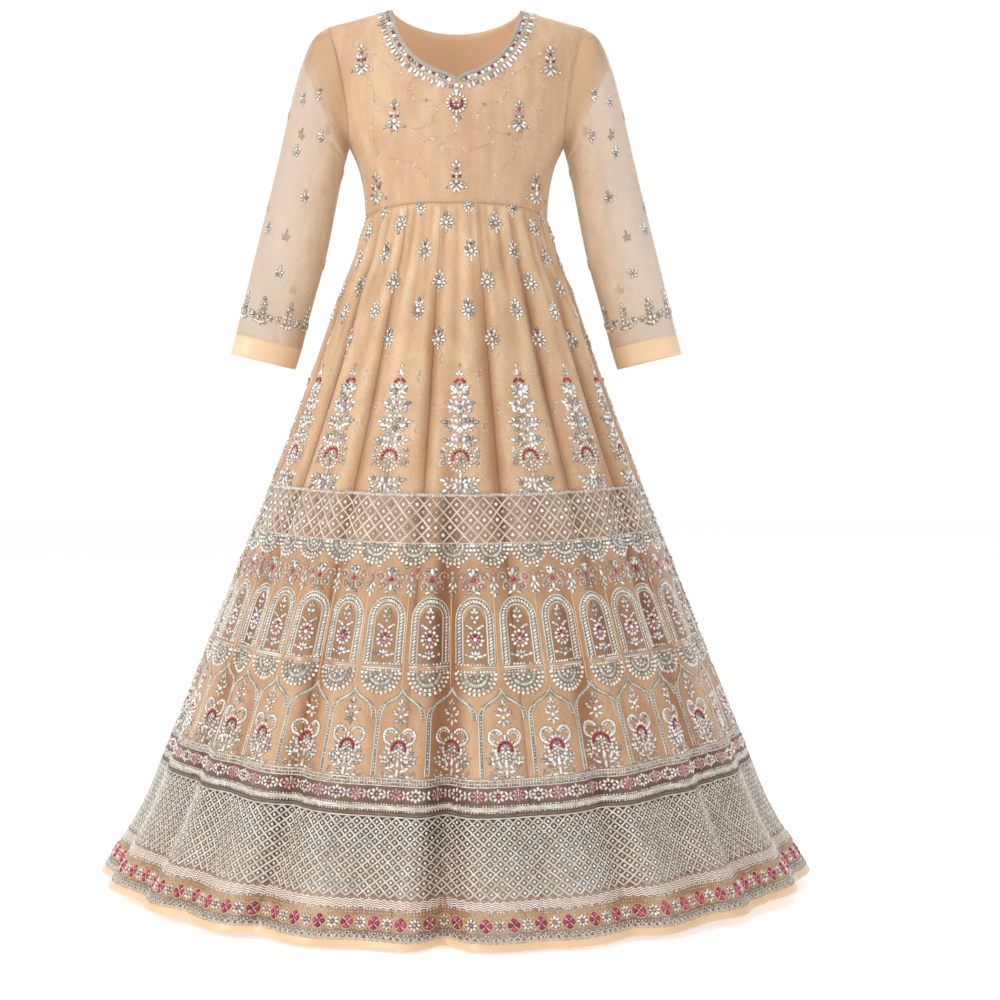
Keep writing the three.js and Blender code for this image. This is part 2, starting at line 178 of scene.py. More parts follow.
def fold_depth(degrees, share):
    """How far the cloth lies inside the smooth cone, in mm."""
    depth = np.zeros(np.broadcast(degrees, share).shape)
    for angle, reach, deep, top in FOLDS:
        depth += deep * bell(degrees, angle, reach) * fade(share, top, FOLD_FULL) * FOLD_GAIN
    return depth


def fine_folds(degrees, share):
    """Gathers under the waist seam, kali seams and soft ripples between them, in mm."""
    depth = np.zeros(np.broadcast(degrees, share).shape)
    gathered = fade(share, 0, 0.012) * (1 - fade(share, 0.02, GATHER_FADE))
    for angle, size in zip(gather_at, gather_size):
        depth += GATHER_DEPTH * size * bell(degrees, angle, GATHER_REACH) * gathered
    for angle, size, end in zip(ripple_at, ripple_size, ripple_end):
        long = fade(share, 0.03, 0.2) * (1 - fade(share, end - 0.3, end))
        depth += RIPPLE_DEPTH * size * bell(degrees, angle, RIPPLE_REACH) * long
    seam = (degrees - FIRST_KALI) % KALI_ANGLE - KALI_ANGLE / 2
    held = fade(share, 0.02, 0.3) * (1 - 0.75 * fade(share, 0.42, 0.8))
    for angle, spread, deep, first, full in GROOVES:
        depth += deep * bell(degrees, angle, spread) * fade(share, first, full)
    return depth + SEAM_FURROW * bell(seam, 0, SEAM_REACH) * held


def cone(degrees, share, inwards):
    """A point of the skirt, a distance inside its smooth cone."""
    angle = np.radians(degrees)
    sine, cosine = np.sin(angle), np.cos(angle)
    sag = (waist_drop(angle) - WAIST_DROP) * (1 - fade(share, 0, 0.3))
    drop = WAIST_DROP + SKIRT_LENGTH * share + sag - through(SIDE_LIFT, 1, share) * sine**2
    half = through(SKIRT, 1, drop)
    depth = np.where(cosine > 0, through(SKIRT, 2, drop), through(SKIRT, 3, drop))
    return np.stack([(half - inwards) * sine, -(depth - inwards) * cosine, -drop], axis=-1)


def skirt(degrees, share):
    """The outer face of the net: degrees from centre front towards +X, share from the waist."""
    degrees, share = np.broadcast_arrays(np.asarray(degrees, float), np.asarray(share, float))
    return cone(degrees, share, fold_depth(degrees, share) + fine_folds(degrees, share))


def mm_per_degree(degrees, share):
    """Width of a degree of the skirt, without its folds."""
    drop = WAIST_DROP + SKIRT_LENGTH * share
    angle = np.radians(degrees)
    depth = np.where(np.cos(angle) > 0, through(SKIRT, 2, drop), through(SKIRT, 3, drop))
    return np.radians(np.hypot(through(SKIRT, 1, drop) * np.cos(angle), depth * np.sin(angle)))


print("hem round, mm:", round(float(mm_per_degree(np.arange(360), 1.0).sum())))

# %% [markdown]
# ## The bodice's surface
# The bodice wraps a torso: an ellipse in plan whose depth changes down the body, rolled over at
# the shoulders. A panel runs in rays from the neckline to its outer edge, which follows the
# waist, the side seam and the armhole. A few soft creases lie on it where worn cloth pulls
# across the bust.

# %% Bodice tables
NECK_HALF, SHOULDER_FALL, SHOULDER_TIP = 98.0, 25.6, 195.3
SLOPE_FADE, ROLL, BACK_NECK_DROP = 200.0, 90.0, 27.0
ARMHOLE_MID, ARMHOLE_HALF = 117.8, 92.2
UNDERARM, SIDE_WAIST = ARMHOLE_MID + ARMHOLE_HALF, WAIST_DROP + WAIST_SAG
HALF_GAP, SEAM_GAP = 0.15, 0.3
UNDERLAP = 0.6  # a crease's raised side, as a share of its depth
BACK_CREASES = 0.5  # the back creases less than the front
WAIST_STEPS, SIDE_STEPS, ARM_STEPS = 5, 2, 8  # lengths of the waist, side and armhole in the rays
EDGE_STEPS = WAIST_STEPS + SIDE_STEPS + ARM_STEPS

# drop, depth in front, depth behind
TORSO = table(
    (0, 88, 70), (60, 92, 81), (115, 99, 91), (150, 108, 97),
    (190, 117, 101), (230, 116, 101), (265, 110, 98), (325, 102, 95),
)
GIRTH = table(
    (0, 222), (66, 208), (126, 197), (165, 184), (UNDERARM, 164.8),
    (233, 153.5), (260, 146), (284, 142), (SIDE_WAIST, WAIST_HALF),
)
ARMHOLE = table((SHOULDER_FALL, SHOULDER_TIP), (66, 183), (126, 170.5), (163.5, 166), (UNDERARM, 164.8))
# share of the way to the shoulder, x, drop
NECKLINE = table(
    (0, 0, 116.7), (0.08, 11, 109.4), (0.24, 36, 99.5), (0.4, 62, 82.4),
    (0.56, 79, 61), (0.72, 88.5, 40), (0.86, 94.5, 20), (1, NECK_HALF, 0),
)
# creases on the front: x, drop, half-length, half-width, slant in degrees, depth
CREASES = table(
    (-52, 172, 60, 5, 8, 3.1), (48, 178, 56, 5, -10, 2.7), (-98, 205, 42, 6, 32, 4.1),
    (100, 204, 44, 6, -30, 3.7), (-70, 238, 50, 6, 14, 3.1), (66, 244, 46, 6, -12, 2.9),
    (-30, 276, 40, 5, 20, 2.2), (34, 280, 42, 5, -18, 2.2), (-110, 150, 30, 6, 55, 3.4),
    (112, 152, 30, 6, -55, 3.2), (0, 205, 38, 7, 0, 2.5), (-112, 262, 26, 5, 60, 2.5),
    (110, 264, 26, 5, -60, 2.5), (-60, 120, 36, 6, -20, 2.2), (60, 124, 34, 6, 24, 2.0),
)
print("creases on the bodice:", len(CREASES))

# %% [markdown]
# ## A panel of the bodice
# A crease is a trough with a low ridge beside it, as cloth pushed out of a fold has to go
# somewhere. The edges of a panel are curves of their own, and `panel` runs rays between them.

# %% Bodice surface
def crease_depth(x, drop):
    """Creases of the bodice in mm: a trough, with a lower ridge beside it."""
    depth = np.zeros(np.broadcast(x, drop).shape)
    for middle, height, long, wide, slant, deep in CREASES:
        lean = np.radians(slant)
        along = (x - middle) * np.cos(lean) + (drop - height) * np.sin(lean)
        across = -(x - middle) * np.sin(lean) + (drop - height) * np.cos(lean)
        depth += deep * np.exp(-((along / long) ** 2) - (across / wide) ** 2)
        depth -= UNDERLAP * deep * np.exp(-((along / long) ** 2) - ((across - 2 * wide) / wide) ** 2)
    return depth


def bodice(x, drop, side, creased=True):
    """The outer face of the bodice; side is -1 in front and +1 behind."""
    x, drop = np.broadcast_arrays(np.asarray(x, float), np.asarray(drop, float))
    past = np.clip((np.abs(x) - NECK_HALF) / (SHOULDER_TIP - NECK_HALF), 0, 1)
    fall = past * SHOULDER_FALL
    below = np.maximum(0, (drop - fall) / (1 - fall / SLOPE_FADE))
    roll = np.sqrt(1 - np.clip(1 - below / ROLL, 0, 1) ** 2)
    share = np.minimum(1, np.abs(x) / through(GIRTH, 1, drop))
    depth = through(TORSO, 1 if side < 0 else 2, below) * roll * np.sqrt(1 - share**2)
    if creased:
        inner = (1 - fade(np.abs(x), 110, 150)) * (1 - fade(drop, 285, 305)) * fade(drop, 20, 60)
        depth = depth - crease_depth(x, drop) * inner * (1.0 if side < 0 else BACK_CREASES)
    return np.stack([x, side * (depth + HALF_GAP), -drop], axis=-1)


def armhole_edge(turn):
    """x and drop on the armhole, from the underarm (turn 1) to the shoulder tip (turn -1)."""
    drop = ARMHOLE_MID + ARMHOLE_HALF * turn
    return through(ARMHOLE, 1, drop), drop


def outer_edge(way):
    """x and drop on a panel's outer edge; way runs from 0 at centre to 1 at the shoulder."""
    step = np.asarray(way, float) * EDGE_STEPS
    angle = np.clip(step / WAIST_STEPS, 0, 1) * np.pi / 2
    down = mix(SIDE_WAIST - HALF_GAP, UNDERARM, np.clip((step - WAIST_STEPS) / SIDE_STEPS, 0, 1))
    turn = np.cos(np.clip((step - WAIST_STEPS - SIDE_STEPS) / ARM_STEPS, 0, 1) * np.pi)
    arm_x, arm_drop = armhole_edge(turn)
    on_waist, on_side = step <= WAIST_STEPS, step <= WAIST_STEPS + SIDE_STEPS
    side_x = np.where(on_side, through(GIRTH, 1, down), arm_x - HALF_GAP)
    side_drop = np.where(on_side, down, arm_drop)
    x = np.where(on_waist, WAIST_HALF * np.sin(angle), side_x)
    drop = np.where(on_waist, waist_drop(angle) - HALF_GAP, side_drop)
    return x, drop


def front_neck(way):
    """x and drop of the front neckline, from its point (way 0) to the shoulder."""
    return through(NECKLINE, 1, way), through(NECKLINE, 2, way)


def back_neck(way):
    """x and drop of the back neckline, a shallow curve."""
    return NECK_HALF * way, BACK_NECK_DROP * (1 - np.clip(way, 0, 1) ** 2) ** 0.8


def panel(way, ray, side, middle=0.0):
    """A point of a bodice panel: way from -1 to 1 across it, ray from the neck to the edge."""
    size = np.clip(np.abs(way), 0, 1)
    neck_x, neck_drop = front_neck(size) if side < 0 else back_neck(size)
    edge_x, edge_drop = outer_edge(size)
    x = np.maximum(middle, mix(neck_x, edge_x, ray)) * np.where(way < 0, -1, 1)
    return bodice(x, mix(neck_drop, edge_drop, ray), side)


print("bodice across the underarm, mm:", round(2 * float(through(GIRTH, 1, UNDERARM))))

# %% [markdown]
# ## The sleeves' surface
# A sleeve is a tube of rings. Each row gives the outer and inner edge of one ring as seen from
# the front, and its depth, so the tube tilts and narrows down the arm. The first ring is the
# armhole itself, and the tube eases out of it. The left sleeve mirrors the right.

# %% Sleeve rings
# ring, outer x and drop, inner x and drop, depth
SLEEVE = table(
    (0, SHOULDER_TIP, SHOULDER_FALL, 164.8, UNDERARM, 50), (1, 218.6, 42.6, 167.6, 219.3, 54),
    (2, 237.2, 82.9, 169.5, 227, 54), (3, 254.2, 143.4, 172, 236, 51),
    (4, 275.9, 237.9, 179.8, 272, 46), (5, 302.3, 343.3, 200, 372.8, 40),
    (6, 325.5, 434.8, 223.8, 459.6, 35), (7, 340, 493.7, 238.7, 518.5, 32),
)
CUFF = table((0, 340, 493.7, 238.7, 518.5, 32), (1, 348.8, 526.2, 248.8, 550.4, 31))
CUFF_DEEP = 32.5
RINGS = len(SLEEVE) - 1
# creases round the sleeve: ring, angle in degrees, reach in rings and degrees, depth
ARM_CREASES = table(
    (2.7, 40, 0.24, 30, 3.2), (3.3, 30, 0.22, 32, 2.8), (3.9, 45, 0.22, 30, 2.8),
    (4.4, 35, 0.2, 32, 2.6), (4.9, 42, 0.22, 30, 2.6), (5.5, 30, 0.22, 30, 2.2),
    (5.6, -50, 0.22, 28, 1.8), (6.1, 40, 0.2, 30, 1.8), (4.0, 215, 0.24, 32, 2.4),
    (5.0, 150, 0.24, 30, 2.4),
)


def ring_point(rows, place, degrees, inset=0.0):
    """A point of a tube of rings on the -X side; 0 degrees faces front, 90 faces the body."""
    angle = np.radians(degrees)
    inner = (1 + np.sin(angle)) / 2
    x = mix(through(rows, 1, place) - inset, through(rows, 3, place) + inset, inner)
    drop = mix(through(rows, 2, place), through(rows, 4, place), inner)
    return np.stack([-x, -(through(rows, 5, place) - inset) * np.cos(angle), -drop], axis=-1)


def sleeve(degrees, place, inset=0.0):
    """The outer face of the right sleeve; place runs over the rings from the armhole down."""
    degrees, place = np.broadcast_arrays(np.asarray(degrees, float), np.asarray(place, float))
    turn = np.sin(np.radians(degrees))
    x, drop = armhole_edge(turn)
    front = np.cos(np.radians(degrees))
    depth = np.abs(bodice(x, drop, -1, creased=False)[..., 1])
    behind = np.abs(bodice(x, drop, 1, creased=False)[..., 1])
    y = np.where(front > 0, -depth, behind) * np.minimum(1, np.abs(front) / 0.05)
    hole = np.stack([-x - HALF_GAP, y, -drop], axis=-1)
    start = ring_point(SLEEVE, np.zeros_like(place), degrees)
    ease = (1 - np.clip(place, 0, 1)) ** 2
    creased = np.zeros_like(place)
    for ring, angle, reach, spread, deep in ARM_CREASES:
        across = (place - ring) / reach + away(degrees, angle) / spread
        creased += deep * np.exp(-(across**2)) * bell(degrees, angle, spread)
    creased *= fade(place, 0.1, 0.8) * (1 - fade(place, 6.6, 7))
    return ring_point(SLEEVE, place, degrees, inset + creased) + (hole - start) * ease[..., None]


def mirrored(points):
    """The same cloth on the other side of the body."""
    return points * np.array([-1.0, 1.0, 1.0])


outer_run = np.linalg.norm(np.diff(SLEEVE[:, 1:3], axis=0), axis=1).sum()
print("sleeve down its outer edge, mm:", round(float(outer_run)))

# %% [markdown]
# ## Cloth from a grid
# Every cloth piece starts as a flat grid, made by bmesh's own operator with UVs, and each vertex
# is moved on to its surface. Solidify then gives the thin wall, inwards. A tube's two ends meet,
# so their doubles are merged. Each piece says what it stands for and rides on the root, and the
# CAD parts that it stands for are hidden.

# %% Cloth maker
NET_WALL, LINING_WALL, SATIN_WALL = 0.5, 0.7, 1.2
LAYER = 1.7  # from the net's outer face to the lining's


def cloth(name, surface, across, down, wall, closed=False, flip=False, chart=None):
    """A grid of cloth on surface(u, v): u runs 0 to 1 across, v runs 0 to 1 down.
    chart(u, v) gives other UVs than the plain 0 to 1."""
    mesh = bpy.data.meshes.new(name)
    made = bmesh.new()
    made.loops.layers.uv.verify()
    bmesh.ops.create_grid(made, x_segments=across, y_segments=down, size=1.0, calc_uvs=True)
    made.verts.ensure_lookup_table()
    flat = np.array([vertex.co for vertex in made.verts])
    u, v = (flat[:, 0] + 1) / 2, (1 - flat[:, 1]) / 2
    for vertex, point in zip(made.verts, surface(u, v) * MM):
        vertex.co = point
    if chart:
        layer = made.loops.layers.uv.verify()
        places = np.stack(chart(u, v), axis=-1)
        for face in made.faces:
            for loop in face.loops:
                loop[layer].uv = places[loop.vert.index]
    if closed:
        bmesh.ops.remove_doubles(made, verts=made.verts[:], dist=1e-6)
    if flip:
        bmesh.ops.reverse_faces(made, faces=made.faces[:])
    made.to_mesh(mesh)
    made.free()
    mesh.shade_smooth()
    piece = bpy.data.objects.new(name, mesh)
    bpy.context.scene.collection.objects.link(piece)
    thick = piece.modifiers.new("wall", "SOLIDIFY")
    thick.thickness = wall * MM
    thick.offset = -1
    return piece


def dress(piece, material, slot, nodes, flat=None, held="draped", area=None):
    """Finish a cloth piece: its material and its parent, and hide the CAD parts it stands for; slot, flat,
    held and area are not used.
    """
    piece.data.materials.append(material)
    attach(piece, "root")
    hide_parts(*nodes)
    print(f"{piece.name}: {len(piece.data.vertices)} vertices, stands for {', '.join(nodes)}")


# %% [markdown]
# ## Colours and nodes
# Colours are written as sRGB hex values, as a dye card would give them, and turned to linear
# light by one function. Another adds a shader node with its settings, links and colour stops.

# %% Node helpers
def linear(code):
    """An sRGB hex colour as linear RGBA."""
    parts = [int(code[i:i + 2], 16) / 255 for i in (1, 3, 5)]
    light = [c / 12.92 if c <= 0.04045 else ((c + 0.055) / 1.055) ** 2.4 for c in parts]
    return (*light, 1.0)


def add(tree, kind, inputs=None, stops=None, **settings):
    """Add a node. An input is a value, or another node's socket to link."""
    made = tree.nodes.new("ShaderNode" + kind)
    for name, value in settings.items():
        setattr(made, name, value)
    for name, value in (inputs or {}).items():
        if isinstance(value, bpy.types.NodeSocket):
            tree.links.new(value, made.inputs[name])
        else:
            made.inputs[name].default_value = value
    if stops:
        ramp = made.color_ramp
        while len(ramp.elements) > 1:
            ramp.elements.remove(ramp.elements[-1])
        ramp.elements[0].position = stops[0][0]
        ramp.elements[0].color = linear(stops[0][1])
        for place, code in stops[1:]:
            ramp.elements.new(place).color = linear(code)
    return made


def material(name, code):
    """A new material, its tree and its shader."""
    made = bpy.data.materials.new(name)
    made.use_nodes = True
    made.diffuse_color = linear(code)
    shader = made.node_tree.nodes["Principled BSDF"]
    shader.inputs["Base Color"].default_value = linear(code)
    return made, made.node_tree, shader


def settings(shader, values):
    """Constants set straight on the shader's own sockets."""
    for name, value in values.items():
        shader.inputs[name].default_value = value


def ramp(tree, factor, stops):
    """A colour read off a row of stops."""
    return add(tree, "ValToRGB", {0: factor}, stops).outputs["Color"]


def maths(tree, operation, *values):
    return add(tree, "Math", dict(enumerate(values)), operation=operation).outputs[0]


def eased(tree, value, start, end):
    """0 at start and 1 at end, and smooth between them."""
    return add(tree, "MapRange", {0: value, 1: start, 2: end}, interpolation_type="SMOOTHSTEP").outputs[0]


def blended(tree, share, colour, other, blend="MIX"):
    """A share of another colour laid over a colour."""
    return add(tree, "Mix", {0: share, 6: colour, 7: other}, data_type="RGBA", blend_type=blend).outputs[2]


def tinted(tree, colour, dye):
    """A colour darkened by a dye: the two multiplied."""
    return blended(tree, 1.0, colour, dye, "MULTIPLY")


print("peach in linear light:", [round(c, 3) for c in linear("#E6C7A2")])


# %% [markdown]
# ## Net
# The outer cloth is a soft nylon net. Its holes are under a millimetre, too fine to show, so the
# knit is drawn at 2.4 mm. It lets light through: threads cover part of each face, which the alpha
# gives. On the skirt, bands of darker ground run round it where thread fills the net, so colour
# follows the piece's own V, from the waist down.

# %% Net materials
KNIT = 2.4 * MM
COVER_SPREAD = 0.07  # how much the threads' cover varies, either way
FOLD_SHADE = 0.8  # how far the net darkens at the bottom of a fold
PANEL_SHADE = 0.75  # how far it darkens inside an arch


def net(name, cover, stops, panels=False, fold_shaded=False, round_cover=None):
    """Net with the share of each face that its threads cover, and colours down its length."""
    made, tree, shader = material(name, stops[0][1])
    settings(shader, {"Roughness": 0.62, "Sheen Weight": 0.25, "Sheen Roughness": 0.4, "IOR": 1.5})
    where = add(tree, "TexCoord")
    along = add(tree, "SeparateXYZ", {0: where.outputs["UV"]})
    down = maths(tree, "SUBTRACT", 1.0, along.outputs["Y"])
    colour = ramp(tree, down, stops)
    if panels:
        colour = shaded_panels(tree, along.outputs["X"], down, colour)
    # painted shade in the folds: the colour darkens towards the bottom of each fold
    if fold_shaded:
        fold = add(tree, "Attribute", attribute_name="fold")
        deep = add(tree, "MapRange", {0: fold.outputs["Fac"], 1: 0.0, 2: 1.0, 3: 0.0, 4: FOLD_SHADE})
        colour = blended(tree, deep.outputs[0], colour, tinted(tree, colour, linear("#BE9876")))
    streaks = add(tree, "Mapping", {"Vector": where.outputs["Object"], "Scale": (1.0, 1.0, 0.22)})
    cloud = add(tree, "TexNoise", {"Vector": streaks.outputs[0], "Scale": 38.0, "Detail": 5.0}).outputs["Fac"]
    colour = tinted(tree, colour, ramp(tree, cloud, [(0.32, "#EDE4DC"), (0.66, "#FFFFFF")]))
    knit = add(tree, "TexVoronoi", {"Vector": where.outputs["Object"], "Scale": 1 / KNIT}).outputs["Distance"]
    colour = tinted(tree, colour, ramp(tree, knit, [(0.15, "#F1E9E0"), (0.6, "#FFFFFF")]))
    bump = add(tree, "Bump", {"Height": knit, "Strength": 0.25, "Distance": 0.3 * MM})
    thin, thick = cover - COVER_SPREAD, cover + COVER_SPREAD
    clear = add(tree, "MapRange", {0: cloud, 3: thin, 4: thick}).outputs[0]
    if round_cover:
        clear = maths(tree, "ADD", clear, ramp(tree, along.outputs["X"], round_cover))
    tree.links.new(colour, shader.inputs["Base Color"])
    tree.links.new(bump.outputs["Normal"], shader.inputs["Normal"])
    tree.links.new(clear, shader.inputs["Alpha"])
    return made


def shaded_panels(tree, across, down, colour):
    """Darker ground inside the arches: U counts the repeats, whole at each arch's middle."""
    near = maths(tree, "PINGPONG", across, 0.5)
    side = eased(tree, near, 0.30, 0.275)
    roof = maths(tree, "MULTIPLY_ADD", maths(tree, "POWER", near, 2.0), 0.3, 0.568)
    top = eased(tree, maths(tree, "SUBTRACT", down, roof), 0.0, 0.005)
    inside = maths(tree, "MULTIPLY", maths(tree, "MULTIPLY", side, top), eased(tree, down, 0.648, 0.643))
    strength = maths(tree, "MULTIPLY", inside, PANEL_SHADE)
    return blended(tree, strength, colour, linear("#A67F5E"))


# share of the kali's length, ground colour; each band's colour is held between two stops
SKIRT_GROUND = [
    (0.0, "#E6C7A2"), (0.412, "#DFBD98"), (0.424, "#B9977A"), (0.484, "#BD9B7D"), (0.492, "#CDA985"),
    (0.575, "#CCA681"), (0.69, "#D8B490"), (0.79, "#DCB893"), (0.803, "#8A715B"), (0.834, "#7F6A58"),
    (0.842, "#51463C"), (0.862, "#63574C"), (0.89, "#85796C"), (0.935, "#A2968A"), (0.943, "#CFAE8D"),
    (0.957, "#D3B798"), (0.965, "#D3B794"), (0.983, "#A89A8B"), (1.0, "#BBA68E"),
]
# painted shade: the net's colour darkens in its folds, as deep as the fold attribute says
skirt_net = net("soft_nylon_net", 0.86, SKIRT_GROUND, panels=True, fold_shaded=True)
# over the bodice the net is only a veil, and the satin under it gives most of the colour
bodice_net = net("soft_nylon_net_bodice", 0.55, [(0.0, "#E8CAA8"), (1.0, "#E2C3A0")])
# round the sleeve, from the front: the net bunches by the underarm and lies open outside
SLEEVE_COVER = [
    (0.0, "#4A4A4A"), (0.05, "#808080"), (0.11, "#A4A4A4"), (0.22, "#BABABA"), (0.30, "#A0A0A0"),
    (0.45, "#303030"), (0.74, "#303030"), (0.80, "#6C6C6C"), (0.86, "#383838"), (0.95, "#101010"),
    (1.0, "#4A4A4A"),
]
SLEEVE_GROUND_TONES = [(0.0, "#D9B792"), (0.3, "#DCBF9E"), (1.0, "#DDC5A8")]
sheer_net = net("soft_nylon_net_sheer", 0.25, SLEEVE_GROUND_TONES, round_cover=SLEEVE_COVER)
print("nets:", skirt_net.name, bodice_net.name, sheer_net.name)

# %% [markdown]
# ## Satin
# The lining, the cuffs and the hem binding are satin: long floats of thread lie side by side, so
# the cloth has a broad soft gloss. Fine lines along the warp give it grain, drawn at 1.2 mm.

# %% Satin materials
WARP = 1.2 * MM


def satin(name, light, dark, gloss, painted_glow=0.0, thins=None):
    """Satin in two close tones; thins gives how solid it is from its lower edge up."""
    made, tree, shader = material(name, light)
    settings(shader, {"Roughness": gloss, "Sheen Weight": 0.15, "Sheen Roughness": 0.35, "IOR": 1.5,
                      "Emission Color": linear(light), "Emission Strength": painted_glow})
    where = add(tree, "TexCoord")
    cloud = add(tree, "TexNoise", {"Vector": where.outputs["Object"], "Scale": 9.0, "Detail": 3.0})
    tone = ramp(tree, cloud.outputs["Fac"], [(0.3, dark), (0.7, light)])
    fine = add(tree, "Mapping", {"Vector": where.outputs["Object"], "Scale": (1.0, 1.0, 0.06)})
    grain = add(tree, "TexNoise", {"Vector": fine.outputs[0], "Scale": 1 / WARP, "Detail": 2.0})
    bump = add(tree, "Bump", {"Height": grain.outputs["Fac"], "Strength": 0.2, "Distance": 0.2 * MM})
    tree.links.new(tone, shader.inputs["Base Color"])
    tree.links.new(bump.outputs["Normal"], shader.inputs["Normal"])
    if thins:
        along = add(tree, "SeparateXYZ", {0: where.outputs["UV"]})
        tree.links.new(ramp(tree, along.outputs["Y"], thins), shader.inputs["Alpha"])
    return made


# a faint glow on the lining is painted light: it stands for light that comes through the thin cloth and lifts
# the shaded inside of the gown
lining_satin = satin("woven_lining_satin", "#E4C5A4", "#DAB997", 0.45, 0.13)
# the cap's lower edge is pressed thin, so that it fades into the net instead of stopping on a line
CAP_FADE = [(0.0, "#505050"), (0.45, "#D0D0D0"), (0.8, "#F4F4F4")]
# the cap's fainter glow is painted light too
cap_satin = satin("woven_cap_satin", "#E0C2A0", "#D8B894", 0.45, 0.05, CAP_FADE)
# the doubled bands of the cuffs and the hem are the glossiest cloth and the palest
trim_satin = satin("woven_trim_satin", "#EBCBA6", "#E0BD96", 0.33)
print("satins:", lining_satin.name, cap_satin.name, trim_satin.name)

# %% [markdown]
# ## Stones and thread
# The stones are foil-backed glass, whose facets turn nearly white or nearly black as they catch the
# light. That is painted here: each stone takes its own tone from a number kept on its vertices,
# which its finish turns into a painted glint or a painted dark facet. The magenta and pink ones are
# dyed glass. Zari, the silver thread, is a flat metal strip wound on a core, which is brighter than
# grey but never mirror-like; its glints are painted along it in the same way.

# %% Stone and thread materials
def sparkle(name, codes, metal, rough, places=(0.0, 0.5, 1.0)):
    """A finish whose colour, from dark to light, depends on the tone kept on each small part: a painted glint
    or dark facet on glass and zari, an uneven tone on dull thread.
    """
    codes = codes.split()
    made, tree, shader = material(name, codes[-1])
    settings(shader, {"Metallic": metal, "Roughness": rough})
    tone = add(tree, "Attribute", attribute_name="tone")
    tree.links.new(ramp(tree, tone.outputs["Fac"], list(zip(places, codes))), shader.inputs["Base Color"])
    return made


CLEAR, SILVER, MAGENTA, PINK, WHITE, TAUPE, SETTING_AND_SHADE, PEACH = range(8)
FINISHES = [
    # mostly bright, with a few grey facets, so that a group of stones twinkles: painted glints and painted
    # dark reflections
    sparkle("foiled_crystal_glass", "#8F8D88 #C9C6BF #EAE7E0 #FFFFFF", 0.0, 0.18, (0.0, 0.25, 0.55, 1.0)),
    # the soft grey line that outlines every motif, with painted glints along it
    sparkle("wound_zari_thread", "#A39A8C #CBC3B4 #EAE4D9", 0.15, 0.42),
    # the strongest colour on the gown, in small dots
    sparkle("dyed_magenta_glass", "#951C44 #B82A55 #CF4672", 0.0, 0.25),
    # joins the magenta to the peach ground
    sparkle("dyed_pink_glass", "#CF8792 #DF9BA3 #EFC3C4", 0.0, 0.3),
    # warmer and flatter than the stones beside it
    sparkle("pearl_white_thread", "#CFC6BA #EDE7DE #FFFDF8", 0.0, 0.4),
    # the dark line that sets off the flower band
    sparkle("taupe_silk_thread", "#5E5044 #6F5F52 #867463", 0.0, 0.6),
    # darker thread under each stone, which keeps pale stones apart from pale net: partly its real zari
    # edging, partly painted shade in the gaps between stones
    sparkle("zari_edging_and_painted_shade", "#6F6555 #857B69 #A0967F", 0.1, 0.5),
    # nearly the colour of the ground, so it shows only as a raised line
    sparkle("peach_silk_thread", "#CFA27A #DDB28A #EBC7A2", 0.0, 0.5),
]
print("finishes:", [finish.name for finish in FINISHES])

# %% [markdown]
# ## Camera, light and floor
# The gown is shot straight on with a long lens. Large soft lights and a pale surround give an
# even light, as in a clothing studio, with the key a little to the left so that folds still turn.

# %% Studio
def aim(thing, target):
    thing.rotation_euler = (Vector(target) - thing.location).to_track_quat("-Z", "Y").to_euler()


camera = bpy.data.objects.new("camera", bpy.data.cameras.new("camera"))
camera.data.lens = 80
camera.location = (0, -3.444, -0.61)
aim(camera, (0.067, 0, -0.752))
bpy.context.scene.collection.objects.link(camera)
bpy.context.scene.camera = camera


def softbox(name, place, size, watts):
    """A large soft rectangle of light that faces the middle of the gown."""
    lamp = bpy.data.objects.new(name, bpy.data.lights.new(name, "AREA"))
    lamp.data.shape = "RECTANGLE"
    lamp.data.size, lamp.data.size_y = size
    lamp.data.energy = watts
    lamp.location = place
    aim(lamp, MIDDLE)
    bpy.context.scene.collection.objects.link(lamp)


MIDDLE = (0, 0, -0.7)
softbox("key", (-3.0, -2.3, 1.0), (1.3, 2.2), 66)
softbox("fill", (3.0, -2.6, 0.2), (2.0, 2.4), 9)
softbox("top", (0, -0.4, 2.2), (3.0, 3.0), 44)
softbox("back", (0.5, 3.2, 1.0), (2.4, 2.0), 30)

world = bpy.data.worlds.new("studio")
world.use_nodes = True
bpy.context.scene.world = world
sky = world.node_tree
sky_where = add(sky, "TexCoord")
sky_up = add(sky, "SeparateXYZ", {0: sky_where.outputs["Generated"]})
sky_share = add(sky, "MapRange", {0: sky_up.outputs["Z"], 1: -1.0, 2: 1.0})
# white at and below the horizon, so that no band shows behind the gown, and dimmer overhead
SKY = [(0.0, "#FFFFFF"), (0.6, "#FFFFFF"), (0.74, "#A8A8AC"), (1.0, "#98989C")]
sky.links.new(ramp(sky, sky_share.outputs[0], SKY), sky.nodes["Background"].inputs["Color"])
sky.nodes["Background"].inputs["Strength"].default_value = 1.0

FLOOR_DROP = 0.004  # just under the hem, in metres
floor_mesh = bpy.data.meshes.new("floor")
floor_made = bmesh.new()
bmesh.ops.create_grid(floor_made, x_segments=1, y_segments=1, size=9.0)
bmesh.ops.translate(floor_made, verts=floor_made.verts, vec=(0, 2, CAD_BOX[0][2] - FLOOR_DROP))
floor_made.to_mesh(floor_mesh)
floor_made.free()
floor = bpy.data.objects.new("floor", floor_mesh)
bpy.context.scene.collection.objects.link(floor)
paper, paper_tree, paper_shader = material("white_backdrop_paper", "#F7F7F7")
settings(paper_shader, {"Roughness": 0.9, "Emission Color": linear("#FFFFFF"), "Emission Strength": 0.56})
grit = add(paper_tree, "TexNoise", {"Scale": 3.0})
paper_tone = ramp(paper_tree, grit.outputs["Fac"], [(0.3, "#F4F4F4"), (0.7, "#FAFAFA")])
paper_tree.links.new(paper_tone, paper_shader.inputs["Base Color"])
floor.data.materials.append(paper)
